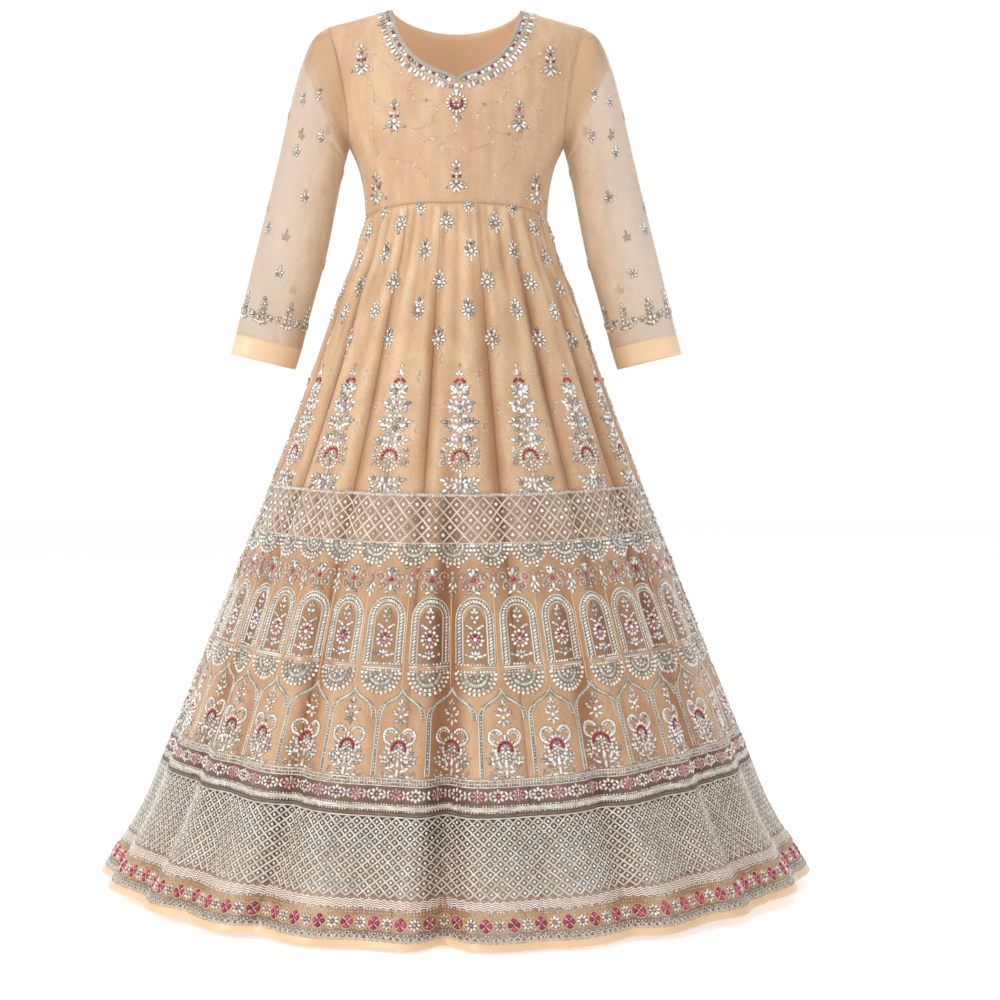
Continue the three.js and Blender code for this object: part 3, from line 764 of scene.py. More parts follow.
bpy.context.scene.view_settings.view_transform = "Standard"
print("camera at", tuple(camera.location), "with", camera.data.lens, "mm lens")

# %% [markdown]
# ## Skirt
# Sixteen kalis of net, each a wedge that is narrow at the waist and wide at the hem. They are
# separate pieces with a hair of space between them, so that each seam reads as a thin dark line
# in its furrow. A satin lining hangs inside, and a satin binding finishes the hem.

# %% Kalis, lining and hem binding
KALI_END = 1 - (HEM_BAND + SEAM_GAP) / SKIRT_LENGTH
WAIST_SPACE = 1.0 / SKIRT_LENGTH
KALI_FLAT, KALI_AREA = (0.235, 1.13), 0.165
REPEAT, PANEL_TURN = 10.0, -6.0  # degrees from arch to arch, and the angle of one of them
SEWN_GAP = 0.06  # the hair of space between two kalis, in mm
CHART_START = 40  # repeats added to U, so that it never falls below zero
# mm of fine fold, near the waist and below it, and of main fold at which the painted shade on the net is full
GATHER_SHADE_DEPTH, RIPPLE_SHADE_DEPTH, FOLD_SHADE_DEPTH = 5.5, 9.0, 16


def kali_place(middle, u, v):
    """Degrees and share of a place on a kali."""
    share = mix(WAIST_SPACE, KALI_END, v**1.1)
    trim = SEWN_GAP / mm_per_degree(middle, share)
    return middle + (KALI_ANGLE - trim) * (u - 0.5), share


def kali_surface(index):
    """The surface of one kali, and the chart of its UVs: U in repeats, V from the hem up."""
    middle = FIRST_KALI + index * KALI_ANGLE

    def surface(u, v):
        degrees, share = kali_place(middle, u, v)
        return skirt(degrees, share)

    def chart(u, v):
        degrees, share = kali_place(middle, u, v)
        return (degrees - PANEL_TURN) / REPEAT + CHART_START, 1 - share
    return surface, chart


def keep_fold_shade(piece):
    """Keep on each vertex how far into a fold it lies, from 0 to 1, for the painted shade in the net's folds.
    """
    uv = piece.data.uv_layers.active.data
    corners = np.empty(len(uv) * 2)
    uv.foreach_get("uv", corners)
    places = np.empty((len(piece.data.vertices), 2))
    index = np.empty(len(piece.data.loops), dtype=int)
    piece.data.loops.foreach_get("vertex_index", index)
    places[index] = corners.reshape(-1, 2)
    degrees = (places[:, 0] - CHART_START) * REPEAT + PANEL_TURN
    share = 1 - places[:, 1]
    fine_shade_depth = mix(GATHER_SHADE_DEPTH, RIPPLE_SHADE_DEPTH, fade(share, 0.05, 0.3))
    depth = fine_folds(degrees, share) / fine_shade_depth + fold_depth(degrees, share) / FOLD_SHADE_DEPTH
    fold = piece.data.attributes.new("fold", "FLOAT", "POINT")
    fold.data.foreach_set("value", np.clip(depth, 0, 1).astype(np.float32))


for index in range(KALIS):
    surface, chart = kali_surface(index)
    piece = cloth(f"kali_net_{index + 1:02d}", surface, 28, 80, NET_WALL, chart=chart)
    keep_fold_shade(piece)
    dress(piece, skirt_net, "net", [f"kali_{index + 1:02d}"], KALI_FLAT, "gathered", KALI_AREA)

LINING_TOP, LINING_END = 0.004, 0.975
# mm inside the net's smooth cone: at the waist, how much more at the hem, and the waves' height
LINING_INSET, LINING_SLACK, LINING_WAVE, LINING_WAVES = 4.5, 44, 2.0, 23


def lining_surface(u, v):
    share = mix(LINING_TOP, LINING_END, v**1.2)
    degrees = FIRST_KALI + u * 360
    wave = LINING_WAVE * np.sin(np.radians(degrees) * LINING_WAVES) * fade(share, 0.1, 0.9)
    return cone(degrees, share, LINING_INSET + LINING_SLACK * share + wave)


lining = cloth("skirt_lining_satin", lining_surface, 160, 40, LINING_WALL, closed=True)
dress(lining, lining_satin, "lining", ["skirt_lining"], (3.05, 1.09), "draped", 2.05)


def binding_surface(u, v):
    return skirt(FIRST_KALI + (u - 0.5 / KALIS) * 360, mix(1 - HEM_BAND / SKIRT_LENGTH, 1.0, v))


binding = cloth("hem_binding_satin", binding_surface, 416, 4, SATIN_WALL, closed=True)
dress(binding, trim_satin, "satin", ["hem_binding"], (3.45, 0.013), "stretched")

# %% [markdown]
# ## Bodice
# A front panel and two back halves, each of net over satin. The grid's columns are the rays of
# the panel and its rows run from the neckline outwards, so the neck edge stays a clean curve.

# %% Bodice panels
RAY_COLUMNS, RAY_ROWS = EDGE_STEPS * 4, 28
FRONT_CUT, BACK_CUT = ((0.40, 0.34), 0.098), ((0.21, 0.33), 0.056)  # flat size and area, in metres


def front_surface(u, v):
    return panel(2 * u - 1, v, -1)


def back_surface(sign):
    def surface(u, v):
        way = 1 - u if sign > 0 else u
        point = panel(way, v, 1, SEWN_GAP / 2)
        return point if sign > 0 else mirrored(point)
    return surface


def lined(surface):
    """The surface of the lining: the same cloth, a layer further in."""
    def inner(u, v):
        point = surface(u, v)
        step = 1e-3
        left = surface(np.clip(u - step, 0, 1), v)
        right = surface(np.clip(u + step, 0, 1), v)
        up = surface(u, np.clip(v - step, 0, 1))
        down = surface(u, np.clip(v + step, 0, 1))
        normal = np.cross(right - left, up - down)
        normal /= np.maximum(np.linalg.norm(normal, axis=-1, keepdims=True), 1e-9)
        inside = point - LAYER * normal
        return np.stack([inside[..., 0], inside[..., 1], point[..., 2]], axis=-1)
    return inner


PANELS = [
    ("front", front_surface, RAY_COLUMNS * 2, FRONT_CUT),
    ("back_left", back_surface(1), RAY_COLUMNS, BACK_CUT),
    ("back_right", back_surface(-1), RAY_COLUMNS, BACK_CUT),
]
for name, surface, columns, (flat, area) in PANELS:
    outer = cloth(f"bodice_{name}_net", surface, columns, RAY_ROWS, NET_WALL)
    dress(outer, bodice_net, "net", [f"bodice_{name}"], flat, "stretched", area)
    inner = cloth(f"bodice_{name}_satin", lined(surface), columns, RAY_ROWS, LINING_WALL)
    dress(inner, lining_satin, "lining", [f"bodice_lining_{name}"], flat, "stretched", area)

# %% [markdown]
# ## Sleeves
# Long sleeves of a single layer of net, so that light passes through both walls. A short satin
# cap lines the top, and a doubled satin cuff weighs the end.

# %% Sleeves, caps and cuffs
CAP_END = 2.0


def sleeve_surface(u, v):
    return sleeve(u * 360, v**0.9 * RINGS)


def cap_surface(u, v):
    point = sleeve(u * 360, v * CAP_END, LAYER)
    point[..., 0] -= LAYER * (1 - v)
    return point


def cuff_surface(u, v):
    return ring_point(CUFF, mix(SEAM_GAP / CUFF_DEEP, 1.0, v), u * 360)


# name, surface, grid and wall; finish, slot and CAD node; flat size, how it is held, flat area
TUBES = [
    (("sleeve_net", sleeve_surface, 52, 72, NET_WALL), (sheer_net, "net", "sleeve"),
     ((0.40, 0.50), "hung", 0.145)),
    (("cap_satin", cap_surface, 48, 16, LINING_WALL), (cap_satin, "lining", "cap_lining"),
     ((0.40, 0.13), "hung", 0.019)),
    (("cuff_satin", cuff_surface, 48, 6, SATIN_WALL), (trim_satin, "satin", "cuff"),
     ((0.235, 0.034), "stretched", None)),
]
for side, turned in (("right", False), ("left", True)):
    for (label, surface, across, down, wall), (finish, slot, node), cut in TUBES:
        shape = (lambda u, v, s=surface: mirrored(s(u, v))) if turned else surface
        piece = cloth(f"{label}_{side}", shape, across, down, wall, closed=True, flip=turned)
        dress(piece, finish, slot, [f"{node}_{side}"], *cut)

# %% [markdown]
# ## Neck piping
# A round silver cord edges the front neckline, from shoulder to shoulder.

# %% Neck piping
PIPING_OUT, PIPING_HALF, PIPING_LIFT, PIPING_RISE = 2.0, 2.2, 1.4, 1.6  # place and radii, in mm


def piping_surface(u, v):
    way = 2 * u - 1
    edge = panel(way, 0.0 * v, -1)
    out = panel(way, 0.02 + 0 * v, -1) - edge
    out /= np.linalg.norm(out, axis=-1, keepdims=True)
    turn = (v[..., None] * 2 - 1) * np.pi
    normal = np.array([0.0, -1.0, 0.0])
    beside = out * PIPING_OUT + out * PIPING_HALF * np.cos(turn)
    return edge + beside + normal * (PIPING_LIFT + PIPING_RISE * np.sin(turn))


piping = cloth("neck_piping", piping_surface, 160, 10, 0.3)
dress(piping, FINISHES[SILVER], "silver_work", ["neck_piping_front"])

# %% [markdown]
# ## How the embroidery is laid down
# An embroiderer draws a motif once, pricks it on paper, and chalks it through on to the cloth at
# each repeat. The same is done here. A motif is a list of marks in millimetres on flat paper: a
# place, a turn, a size and a finish. Each is carried on to the cloth's surface by its frame there
# (across, up and out), so it follows the folds. All the stones of one band become one joined
# mesh, built from arrays, because there are thousands of them with a dozen faces each.

# %% Marks on paper
Ground = namedtuple("Ground", "point across down reach")


def mark(x, y, turn=0.0, long=3.0, wide=None, finish=CLEAR):
    """One stone or stitch: turn is clockwise from straight up, in degrees."""
    wide = long if wide is None else wide
    return np.array([[x, y, turn, long, wide, finish]], dtype=float)


def leaf(x, y, turn, long=7.0, wide=3.0, finish=CLEAR):
    """A leaf that grows from its foot at x, y."""
    lean = np.radians(turn)
    return mark(x + np.sin(lean) * long / 2, y + np.cos(lean) * long / 2, turn, long, wide, finish)


def ring(x, y, radius, count, long, wide, finish=CLEAR, start=0.0, sweep=360.0, slant=0.0):
    """Marks round a circle, or along a part of it."""
    steps = np.arange(count) / (count if sweep == 360 else max(1, count - 1))
    turn = start + sweep * steps
    lean = np.radians(turn)
    ones = np.ones(count)
    return np.stack([x + radius * np.sin(lean), y + radius * np.cos(lean), turn + slant,
                     long * ones, wide * ones, finish * ones], axis=-1)


def both(*motifs):
    """The motifs and their mirror image."""
    right = np.vstack(motifs)
    return np.vstack([right, right * np.array([-1, 1, -1, 1, 1, 1])])


def moved(motif, x, y, turn=0.0, size=1.0):
    """A motif turned clockwise, sized and moved."""
    lean = np.radians(turn)
    made = motif.copy()
    made[:, 0] = x + size * (motif[:, 0] * np.cos(lean) + motif[:, 1] * np.sin(lean))
    made[:, 1] = y + size * (motif[:, 1] * np.cos(lean) - motif[:, 0] * np.sin(lean))
    made[:, 2] += turn
    made[:, 3:5] *= size
    return made


def spray(x, y, turn, length, pairs, long=7.0, wide=3.0, spread=48.0, finish=CLEAR):
    """Pairs of leaves along a stem, with one at its tip."""
    wide = wide * 1.35
    stem = [leaf(0, length - 1, 0, long * 1.15, wide, finish)]
    for place in np.linspace(0.05, 0.8, pairs):
        size = 1.08 - 0.3 * place
        stem.append(both(leaf(0.9, length * place, spread, long * size, wide * size, finish)))
    return moved(np.vstack(stem), x, y, turn)


print("marks in a spray of three pairs:", len(spray(0, 0, 0, 20, 3)))

# %% [markdown]
# ## Paths on paper
# Lines of stones follow curves: arcs for scrolls and fans, and a cubic curve with two handles for
# vines and ogees. The stones are strung on a path at an even pitch, as on a thread.

# %% Paths on paper
def bezier(*corners, steps=8):
    """Points on a cubic curve between two ends with two handles."""
    t = np.linspace(0, 1, steps + 1)[:, None]
    a, b, c, d = (np.array(corner, float) for corner in corners)
    return a * (1 - t) ** 3 + 3 * b * t * (1 - t) ** 2 + 3 * c * t**2 * (1 - t) + d * t**3


def arc(x, y, radius, start, sweep, steps=8):
    """Points on a part of a circle; angles run clockwise from straight up."""
    lean = np.radians(start + sweep * np.linspace(0, 1, steps + 1))
    return np.stack([x + radius * np.sin(lean), y + radius * np.cos(lean)], axis=-1)


def strung(path, pitch, long, wide=None, finish=CLEAR, slant=0.0):
    """Marks at an even pitch along a path."""
    wide = long if wide is None else wide
    steps = np.linalg.norm(np.diff(path, axis=0), axis=1)
    way = np.concatenate([[0], np.cumsum(steps)])
    count = max(2, int(round(way[-1] / pitch)))
    at = (np.arange(count) + 0.5) / count * way[-1]
    x, y = np.interp(at, way, path[:, 0]), np.interp(at, way, path[:, 1])
    ahead = np.minimum(at + 0.5, way[-1])
    back = np.maximum(at - 0.5, 0)
    step_x = np.interp(ahead, way, path[:, 0]) - np.interp(back, way, path[:, 0])
    step_y = np.interp(ahead, way, path[:, 1]) - np.interp(back, way, path[:, 1])
    turn = np.degrees(np.arctan2(step_x, step_y))
    ones = np.ones(count)
    return np.stack([x, y, turn + slant, long * ones, wide * ones, finish * ones], axis=-1)


def flipped(path):
    return path * np.array([-1.0, 1.0])


print("stones strung round a 10 mm circle at 4 mm:", len(strung(arc(0, 0, 10, 0, 360, 24), 4, 3)))

# %% [markdown]
# ## From paper to cloth
# The chalked design is worked from the middle of each repeat outwards, so a motif keeps its true
# size while the skirt flares. An anchor is such a middle. Stones are sewn on with a pass of
# thread, whose dull edge outlines them; its dark colour is partly painted shade in the gaps
# between stones. Cords are laid on top and tied down, which is couching.

# %% From paper to cloth
EDGING = 2.1  # how much wider than its stone the thread setting under it is, in mm
EDGING_HIGH, STONE_LIFT = 0.75, 0.3
LARGEST_STONE = 14  # corners; a longer part is a cord, whose tone changes along it
# mm below which a round stone is a bead, and above which it is a gem and not a leaf stone; how
# much longer than wide a slender one is; and the length above which a stone has a setting
SMALL, ROUND, SLENDER, BEDDED = 4.1, 5.3, 1.25, 4.5


def anchored(ground, anchors, x, y):
    """Places on the ground (u, v) of paper points beside each anchor."""
    u, v = anchors[:, 0][:, None], anchors[:, 1][:, None]
    return u + x[None] / ground.across(u, v), v - y[None] / ground.down(u, v)


def round_skirt(share, turn=PANEL_TURN, step=REPEAT):
    """Anchors all round the skirt at one share of its length."""
    count = int(round(360 / step))
    return np.stack([turn + step * np.arange(count), np.full(count, share)], axis=-1)


def local_frames(ground, u, v):
    """The point, the direction across, up and outwards at places on the cloth."""
    du, dv = ground.reach
    point = ground.point(u, v)
    across = ground.point(u + du, v) - ground.point(u - du, v)
    up = ground.point(u, v - dv) - ground.point(u, v + dv)
    across /= np.linalg.norm(across, axis=-1, keepdims=True)
    out = np.cross(across, up)
    out /= np.linalg.norm(out, axis=-1, keepdims=True)
    return point, across, np.cross(out, across), out


def stone_master(sides, top):
    """A small stone: sides round its girdle, and how wide its flat top is. It is 1 wide and high."""
    made = bmesh.new()
    bmesh.ops.create_cone(made, cap_ends=True, segments=sides, radius1=0.5, radius2=top / 2, depth=1.0)
    bmesh.ops.remove_doubles(made, verts=made.verts[:], dist=1e-5)
    bmesh.ops.translate(made, verts=made.verts[:], vec=(0, 0, 0.4))
    bmesh.ops.triangulate(made, faces=made.faces[:])
    points = np.array([vertex.co for vertex in made.verts])
    faces = np.array([[vertex.index for vertex in face.verts] for face in made.faces])
    made.free()
    return points, faces


GEM, LEAF, BEAD = stone_master(6, 0.55), stone_master(6, 0.0), stone_master(4, 0.0)
print("triangles of a gem, a leaf and a bead:", [len(master[1]) for master in (GEM, LEAF, BEAD)])


def placed(master, at, beside, along, out, wide, long, high):
    """The master's corners at every place, sized on each of its three axes."""
    local = master[0][None]
    corner = at[:, None] + local[..., 0:1] * (beside * wide)[:, None]
    corner = corner + local[..., 1:2] * (along * long)[:, None]
    return corner + local[..., 2:3] * (out * high)[:, None]


def bedded(point, along, beside, out, long, wide, pick):
    """The low ring of darker thread that holds each stone and outlines it, partly painted shade between the
    stones.
    """
    if not pick.any():
        return []
    corner = placed(BEAD, point[pick], beside[pick], along[pick], out[pick],
                    wide[pick, None] + EDGING, long[pick, None] + EDGING, EDGING_HIGH)
    return [(corner, BEAD[1], SETTING_AND_SHADE)]


def sewn(ground, motif, anchors, bed=True):
    """Parts of a joined mesh: every mark of the motif at every anchor."""
    u, v = anchored(ground, anchors, motif[:, 0], motif[:, 1])
    point, across, up, out = (a.reshape(-1, 3) for a in local_frames(ground, u, v))
    rows = np.tile(motif, (len(anchors), 1))
    lean = np.radians(rows[:, 2])[:, None]
    along = up * np.cos(lean) + across * np.sin(lean)
    beside = across * np.cos(lean) - up * np.sin(lean)
    long, wide, finish = rows[:, 3], rows[:, 4], rows[:, 5].astype(int)
    high = np.clip(np.minimum(long, wide) * 0.45, 0.8, 2.4)
    slender = long > wide * SLENDER
    small = ~slender & (long < SMALL)
    slim = ~small & (slender | (long < ROUND))
    outlined = (long > BEDDED) & (finish != SILVER)
    parts = bedded(point, along, beside, out, long, wide, outlined) if bed else []
    for master, chosen in ((LEAF, slim), (BEAD, small), (GEM, ~slim & ~small)):
        for kind in np.unique(finish[chosen]):
            pick = chosen & (finish == kind)
            corner = placed(master, point[pick] + out[pick] * STONE_LIFT, beside[pick], along[pick],
                            out[pick], wide[pick, None], long[pick, None], high[pick, None])
            parts.append((corner, master[1], int(kind)))
    return parts


def couched(ground, lines, wide, high, finish=SILVER):
    """Parts of a joined mesh: cords laid along lines of (u, v) places, shape (lines, points, 2)."""
    point, across, up, out = local_frames(ground, lines[..., 0], lines[..., 1])
    ahead = np.gradient(point, axis=1)
    side = np.cross(out, ahead)
    side /= np.maximum(np.linalg.norm(side, axis=-1, keepdims=True), 1e-9)
    foot = point + out * 0.1
    corners = np.stack([foot - side * wide / 2, foot + side * wide / 2, foot + out * high], axis=2)
    count = lines.shape[1]
    faces = [[2, 1, 0], [3 * count - 3, 3 * count - 2, 3 * count - 1]]
    for i in range(count - 1):
        for a, b in ((1, 2), (2, 0)):
            p, q = 3 * i + a, 3 * i + b
            faces += [[p, q, q + 3], [p, q + 3, p + 3]]
    return [(corners.reshape(len(lines), -1, 3), np.array(faces), finish)]


def traced(ground, path, anchors):
    """A paper path at every anchor, as lines of places on the cloth."""
    u, v = anchored(ground, anchors, path[:, 0], path[:, 1])
    return np.stack([u, v], axis=-1)


print("stones stand off the net by", STONE_LIFT, "mm, with an edging", EDGING, "mm wider than each")

# %% [markdown]
# ## One mesh for each band
# Each stone keeps a random tone, which its finish turns into a painted glint or a painted dark facet. A
# cord takes a tone at every corner, so that painted glints run unevenly along the thread's length.

# %% Joined embroidery
def embroidery(name, parts):
    """One joined mesh of stones and cords, each with a random tone that sets its painted glint."""
    toss = np.random.default_rng(len(name) * 101 + len(parts))
    points, faces, finishes, tones, base = [], [], [], [], 0
    for corners, master, finish in parts:
        copies, size = corners.shape[:2]
        points.append(corners.reshape(-1, 3))
        shifted = master[None] + (base + size * np.arange(copies))[:, None, None]
        faces.append(shifted.reshape(-1, 3))
        finishes.append(np.full(copies * len(master), finish))
        # a random tone for each stone, and for each corner of a cord, which its finish paints as a glint or a
        # dark facet
        tone = toss.random((copies, 1 if size < LARGEST_STONE else size))
        tones.append(np.broadcast_to(tone, (copies, size)).reshape(-1))
        base += copies * size
    points, faces = np.vstack(points) * MM, np.vstack(faces)
    mesh = bpy.data.meshes.new(name)
    mesh.vertices.add(len(points))
    mesh.vertices.foreach_set("co", points.astype(np.float32).ravel())
    mesh.loops.add(faces.size)
    mesh.loops.foreach_set("vertex_index", faces.astype(np.int32).ravel())
    mesh.polygons.add(len(faces))
    mesh.polygons.foreach_set("loop_start", np.arange(0, faces.size, 3, dtype=np.int32))
    mesh.update(calc_edges=True)
    for finish in FINISHES:
        mesh.materials.append(finish)
    mesh.polygons.foreach_set("material_index", np.concatenate(finishes).astype(np.int32))
    tone = mesh.attributes.new("tone", "FLOAT", "POINT")
    tone.data.foreach_set("value", np.concatenate(tones).astype(np.float32))
    mesh.update()
    piece = bpy.data.objects.new(name, mesh)
    bpy.context.scene.collection.objects.link(piece)
    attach(piece, "root")
    print(name, len(faces), "triangles")


ON_SKIRT = Ground(skirt, mm_per_degree, lambda u, v: SKIRT_LENGTH, (0.15, 0.002))


def skirt_sewn(motif, anchors, bed=True):
    return sewn(ON_SKIRT, motif, anchors, bed)


def skirt_cords(path, anchors, wide, high, finish=SILVER):
    """Cords along a paper path at every anchor on the skirt."""
    return couched(ON_SKIRT, traced(ON_SKIRT, path, anchors), wide, high, finish)


def bead_line(share, pitch, long, finish=CLEAR):
    """Stones in a level line all round the skirt."""
    around = float(mm_per_degree(np.arange(360), share).sum())
    count = int(round(around / pitch))
    anchors = np.stack([np.arange(count) * 360 / count, np.full(count, share)], axis=-1)
    return skirt_sewn(mark(0, 0, 0, long, long, finish), anchors)


def level_cord(share, wide, high=0.9, finish=SILVER, wave=0.0, waves=0, steps=480, shift=0.0):
    """A cord all round the skirt, straight or in waves."""
    degrees = np.linspace(0, 360, steps + 1)
    place = share + wave / SKIRT_LENGTH * np.sin(np.radians(degrees * waves + shift))
    return couched(ON_SKIRT, np.stack([degrees, place], axis=-1)[None], wide, high, finish)


# %% [markdown]
# ## Butis
# Butis are the small single motifs scattered over a ground. Here each is a drop: leaf stones
# round a large one, three stones stacked to a point and one below. They stand in staggered rows
# under the waist, wider apart as the skirt flares.

# %% Butis
def buti(point=CLEAR):
    """A drop of leaf stones round a large one; point is the finish of the stone at its tip."""
    return np.vstack([
        mark(0, 0, 0, 7.6), ring(0, 0, 8.2, 9, 8.0, 5.0, CLEAR, 20), ring(0, 0, 4.8, 9, 2.0, 2.0, SILVER),
        both(leaf(2.4, 9.6, 34, 7.5, 4.4)), mark(0, 11.4, 0, 4.6, 4.4, point), leaf(0, 13.0, 0, 7.6, 4.4),
        leaf(0, -10.5, 180, 6.6, 4.2),
    ])


# share of the length, how many in the row, angle of one, size, stone at the tip
BUTI_ROWS = [(0.008, 12, 7.5, 0.7, CLEAR), (0.030, 12, -6.0, 0.96, CLEAR), (0.072, 14, 8.0, 0.96, MAGENTA),
             (0.118, 15, -8.6, 0.96, CLEAR), (0.159, 16, 5.2, 0.96, CLEAR), (0.201, 16, -7.6, 0.96, MAGENTA)]
butis = []
for share, count, turn, size, point in BUTI_ROWS:
    butis += skirt_sewn(moved(buti(point), 0, 0, 0, size), round_skirt(share, turn, 360 / count))
embroidery("butis", butis)

# %% [markdown]
# ## Trees
# A tall flowering tree stands on each kali: a medallion near the foot, tiers of leaf sprays that
# narrow upwards, and a bud at the tip with four magenta stones under it.

# %% Trees
def medallion(x, y, radius, upper=MAGENTA):
    """A round flower: white rim, a coloured arc over its crystal heart."""
    return np.vstack([
        ring(x, y, radius, int(radius * 1.15), 5.4, 4.8, WHITE),
        ring(x, y, radius * 0.68, 9, 4.8, 4.4, upper, -92, 184),
        ring(x, y, radius * 0.66, 5, 5.0, 4.2, CLEAR, 118, 124),
        ring(x, y, radius * 0.32, 6, radius * 0.44, 4.4, CLEAR), mark(x, y, 0, 4.6),
    ])


def curl(x, y, radius, start, sweep, heart=PINK, finish=SILVER):
    """A scroll: leaf stones on a round arc, with a coloured heart."""
    return np.vstack([strung(arc(x, y, radius, start, sweep), 3.6, 4.8, 3.6, finish),
                      mark(x, y, 0, radius * 0.95, radius * 0.85, heart)])


def tree():
    """Tiers of sprays over a medallion: height, length, turn and pairs of leaves of each."""
    tiers = [(71, 18, 80, 3), (84, 15, 52, 2), (98, 20, 82, 3), (111, 14, 50, 2), (124, 14, 76, 2),
             (138, 10, 44, 2), (148, 6, 66, 1)]
    sprays = [both(spray(2.6, height, turn, length, pairs, 9.6, 4.4))
              for height, length, turn, pairs in tiers]
    foot = both(spray(3, 11, 74, 20, 3, 9.6, 4.4), spray(3, 8, 104, 17, 2, 8.6, 4.2),
                leaf(2, 14, 36, 11, 5.4), leaf(2, 6, 132, 11, 5.4))
    stem = strung(np.array([[0.0, 72.0], [0.0, 160.0]]), 6.0, 6.0, 4.2, CLEAR)
    return np.vstack([
        stem, medallion(0, 48, 17.5), leaf(0, 30, 180, 11, 6.0), leaf(0, 15, 180, 15, 6.4),
        leaf(0, 12, 0, 9, 5.6), foot,
        both(curl(26, 42, 6.0, -140, 300), spray(24, 50, 12, 10, 2, 6.4, 3.0)), *sprays,
        both(mark(18, 119, 30, 5.4, 4.6), mark(20, 105, 60, 5.0, 4.4, WHITE)),
        both(mark(4.2, 163, -20, 6.0, 5.4, MAGENTA), mark(8.6, 160, 30, 5.2, 4.8, MAGENTA)),
        mark(0, 126, 0, 5.4, 4.6, PINK), leaf(0, 168, 0, 12, 6.0), both(leaf(1.5, 168, 40, 8.4, 4.4)),
        leaf(0, 180, 0, 8, 4.0),
    ])


TREE_FOOT, TREE_TURN = 0.4165, FIRST_KALI - 0.6
trees = skirt_sewn(tree(), round_skirt(TREE_FOOT, TREE_TURN, KALI_ANGLE))
wisp = np.vstack([
    leaf(0, 0, -28, 9, 1.8, SILVER), leaf(-2, 8, 24, 8, 1.6, SILVER), leaf(1, 15, -50, 6, 1.4, SILVER),
    mark(3, 18, 0, 2.6, 2.6, WHITE), mark(-4, 12, 0, 2.2, 2.2, WHITE), mark(4, 5, 0, 2.2, 2.2, WHITE),
])
for share, aside in ((0.262, 7.4), (0.236, -7.0), (0.335, 8.2), (0.31, -8.4)):
    trees += skirt_sewn(wisp, round_skirt(share, TREE_TURN + aside, KALI_ANGLE), bed=False)
embroidery("trees", trees)

# %% [markdown]
# ## Lattices
# A jaal is a net of crossing threads with a stone in each diamond. The threads are couched: laid
# on the cloth and tied down, so they are cords here. There is a wide one under the trees and a
# fine dense one near the hem.

# %% Lattices
def lattice(count, top, end, cells, cord, stone, knot, bed):
    """Diamonds between two shares: cells is how many stand one over the other."""
    step = 360 / count
    points = 2 * cells + 1
    share = np.linspace(top, end, points)
    lean = np.linspace(0, cells * step, points)
    start = (step * np.arange(count))[:, None]
    lines = [np.stack([start + sign * lean[None], np.broadcast_to(share, (count, points))], axis=-1)
             for sign in (1, -1)]
    parts = couched(ON_SKIRT, np.concatenate(lines), cord, 0.9)
    for row in range(1, points - 1):
        parts += skirt_sewn(stone, round_skirt(share[row], step * ((row + 1) % 2) / 2, step), bed=bed)
        parts += skirt_sewn(knot, round_skirt(share[row], step * (row % 2) / 2, step), bed=False)
    return parts


stone, knot = mark(0, 0, 0, 6.2, 5.8), mark(0, 0, 0, 3.2, 3.2, SILVER)
upper = lattice(96, 0.4225, 0.4850, 3, 2.4, stone, knot, True)
for share, pitch, size in ((0.4185, 3.6, 3.2), (0.4215, 3.6, 3.0), (0.4868, 3.8, 3.2)):
    upper += bead_line(share, pitch, size)
upper += level_cord(0.4200, 2.2) + level_cord(0.4853, 1.8)
embroidery("upper_lattice", upper)

stone, knot = mark(0, 0, 0, 4.9, 4.6, WHITE), mark(0, 0, 0, 3.0, 3.0, SILVER)
fine = lattice(208, 0.8415, 0.9385, 8, 2.5, stone, knot, False)
embroidery("lower_lattice", fine)

# %% [markdown]
# ## Half rosettes
# Under the lattice hang half rosettes like small fans, rows of leaf stones that open downwards,
# with a drop stone at each point of the edge. A pendant of two scrolls swings under each one.

# %% Half rosettes and finials
def fan(x, y, radius):
    """Rows of leaves that open downwards from a point."""
    return np.vstack([
        mark(x, y - radius * 0.1, 0, 5.4, 5.0),
        ring(x, y, radius * 0.32, 6, 6.4, 4.4, CLEAR, 96, 168),
        ring(x, y, radius * 0.58, 9, 6.8, 4.8, SILVER, 93, 174),
        ring(x, y, radius * 0.58, 8, 5.4, 2.6, WHITE, 104, 152),
        ring(x, y, radius * 0.82, 12, 6.2, 4.8, CLEAR, 91, 178),
        ring(x, y, radius * 1.04, 14, 6.4, 5.4, WHITE, 90, 180),
    ])


def pendant():
    """Two scrolls and a drop that hang under a fan."""
    return np.vstack([
        both(curl(12.5, -44, 6.2, -120, 300)), mark(0, -39, 0, 6.4, 5.4, PINK), leaf(0, -41, 180, 12, 5.8),
        both(leaf(1.5, -51, 150, 10, 4.6)), leaf(0, -54, 180, 10, 4.6), leaf(0, -64, 180, 9, 4.0),
        both(leaf(1.0, -62, 130, 7, 3.6)), both(leaf(19, -35, 60, 8, 4.0), leaf(4, -31, 72, 8, 4.2)),
    ])


def finial():
    """A crown over an arch."""
    return np.vstack([
        leaf(0, 119, 0, 13, 6.0), both(leaf(1.5, 118, 36, 10, 4.8)), mark(0, 114, 0, 6.6, 6.2, MAGENTA),
        both(curl(12.0, 105, 6.2, -150, 300)), leaf(0, 109, 180, 12, 6.0), both(leaf(2, 99, 118, 10, 4.6)),
        both(mark(5.6, 113, 40, 5.0, 4.4, PINK)),
    ])


BETWEEN = PANEL_TURN + REPEAT / 2
FANS_TOP, ARCH_FOOT = 0.4885, 0.645
FAN_RIBBONS = (6.0, 12.4, 18.8)


def fan_ground(y, anchors):
    """Bands of dull thread that fill a fan under its stones, partly painted shade between them."""
    parts = []
    for radius in FAN_RIBBONS:
        parts += skirt_cords(arc(0, y, radius, 92, 176, 10), anchors, 5.8, 0.4, SETTING_AND_SHADE)
    return parts


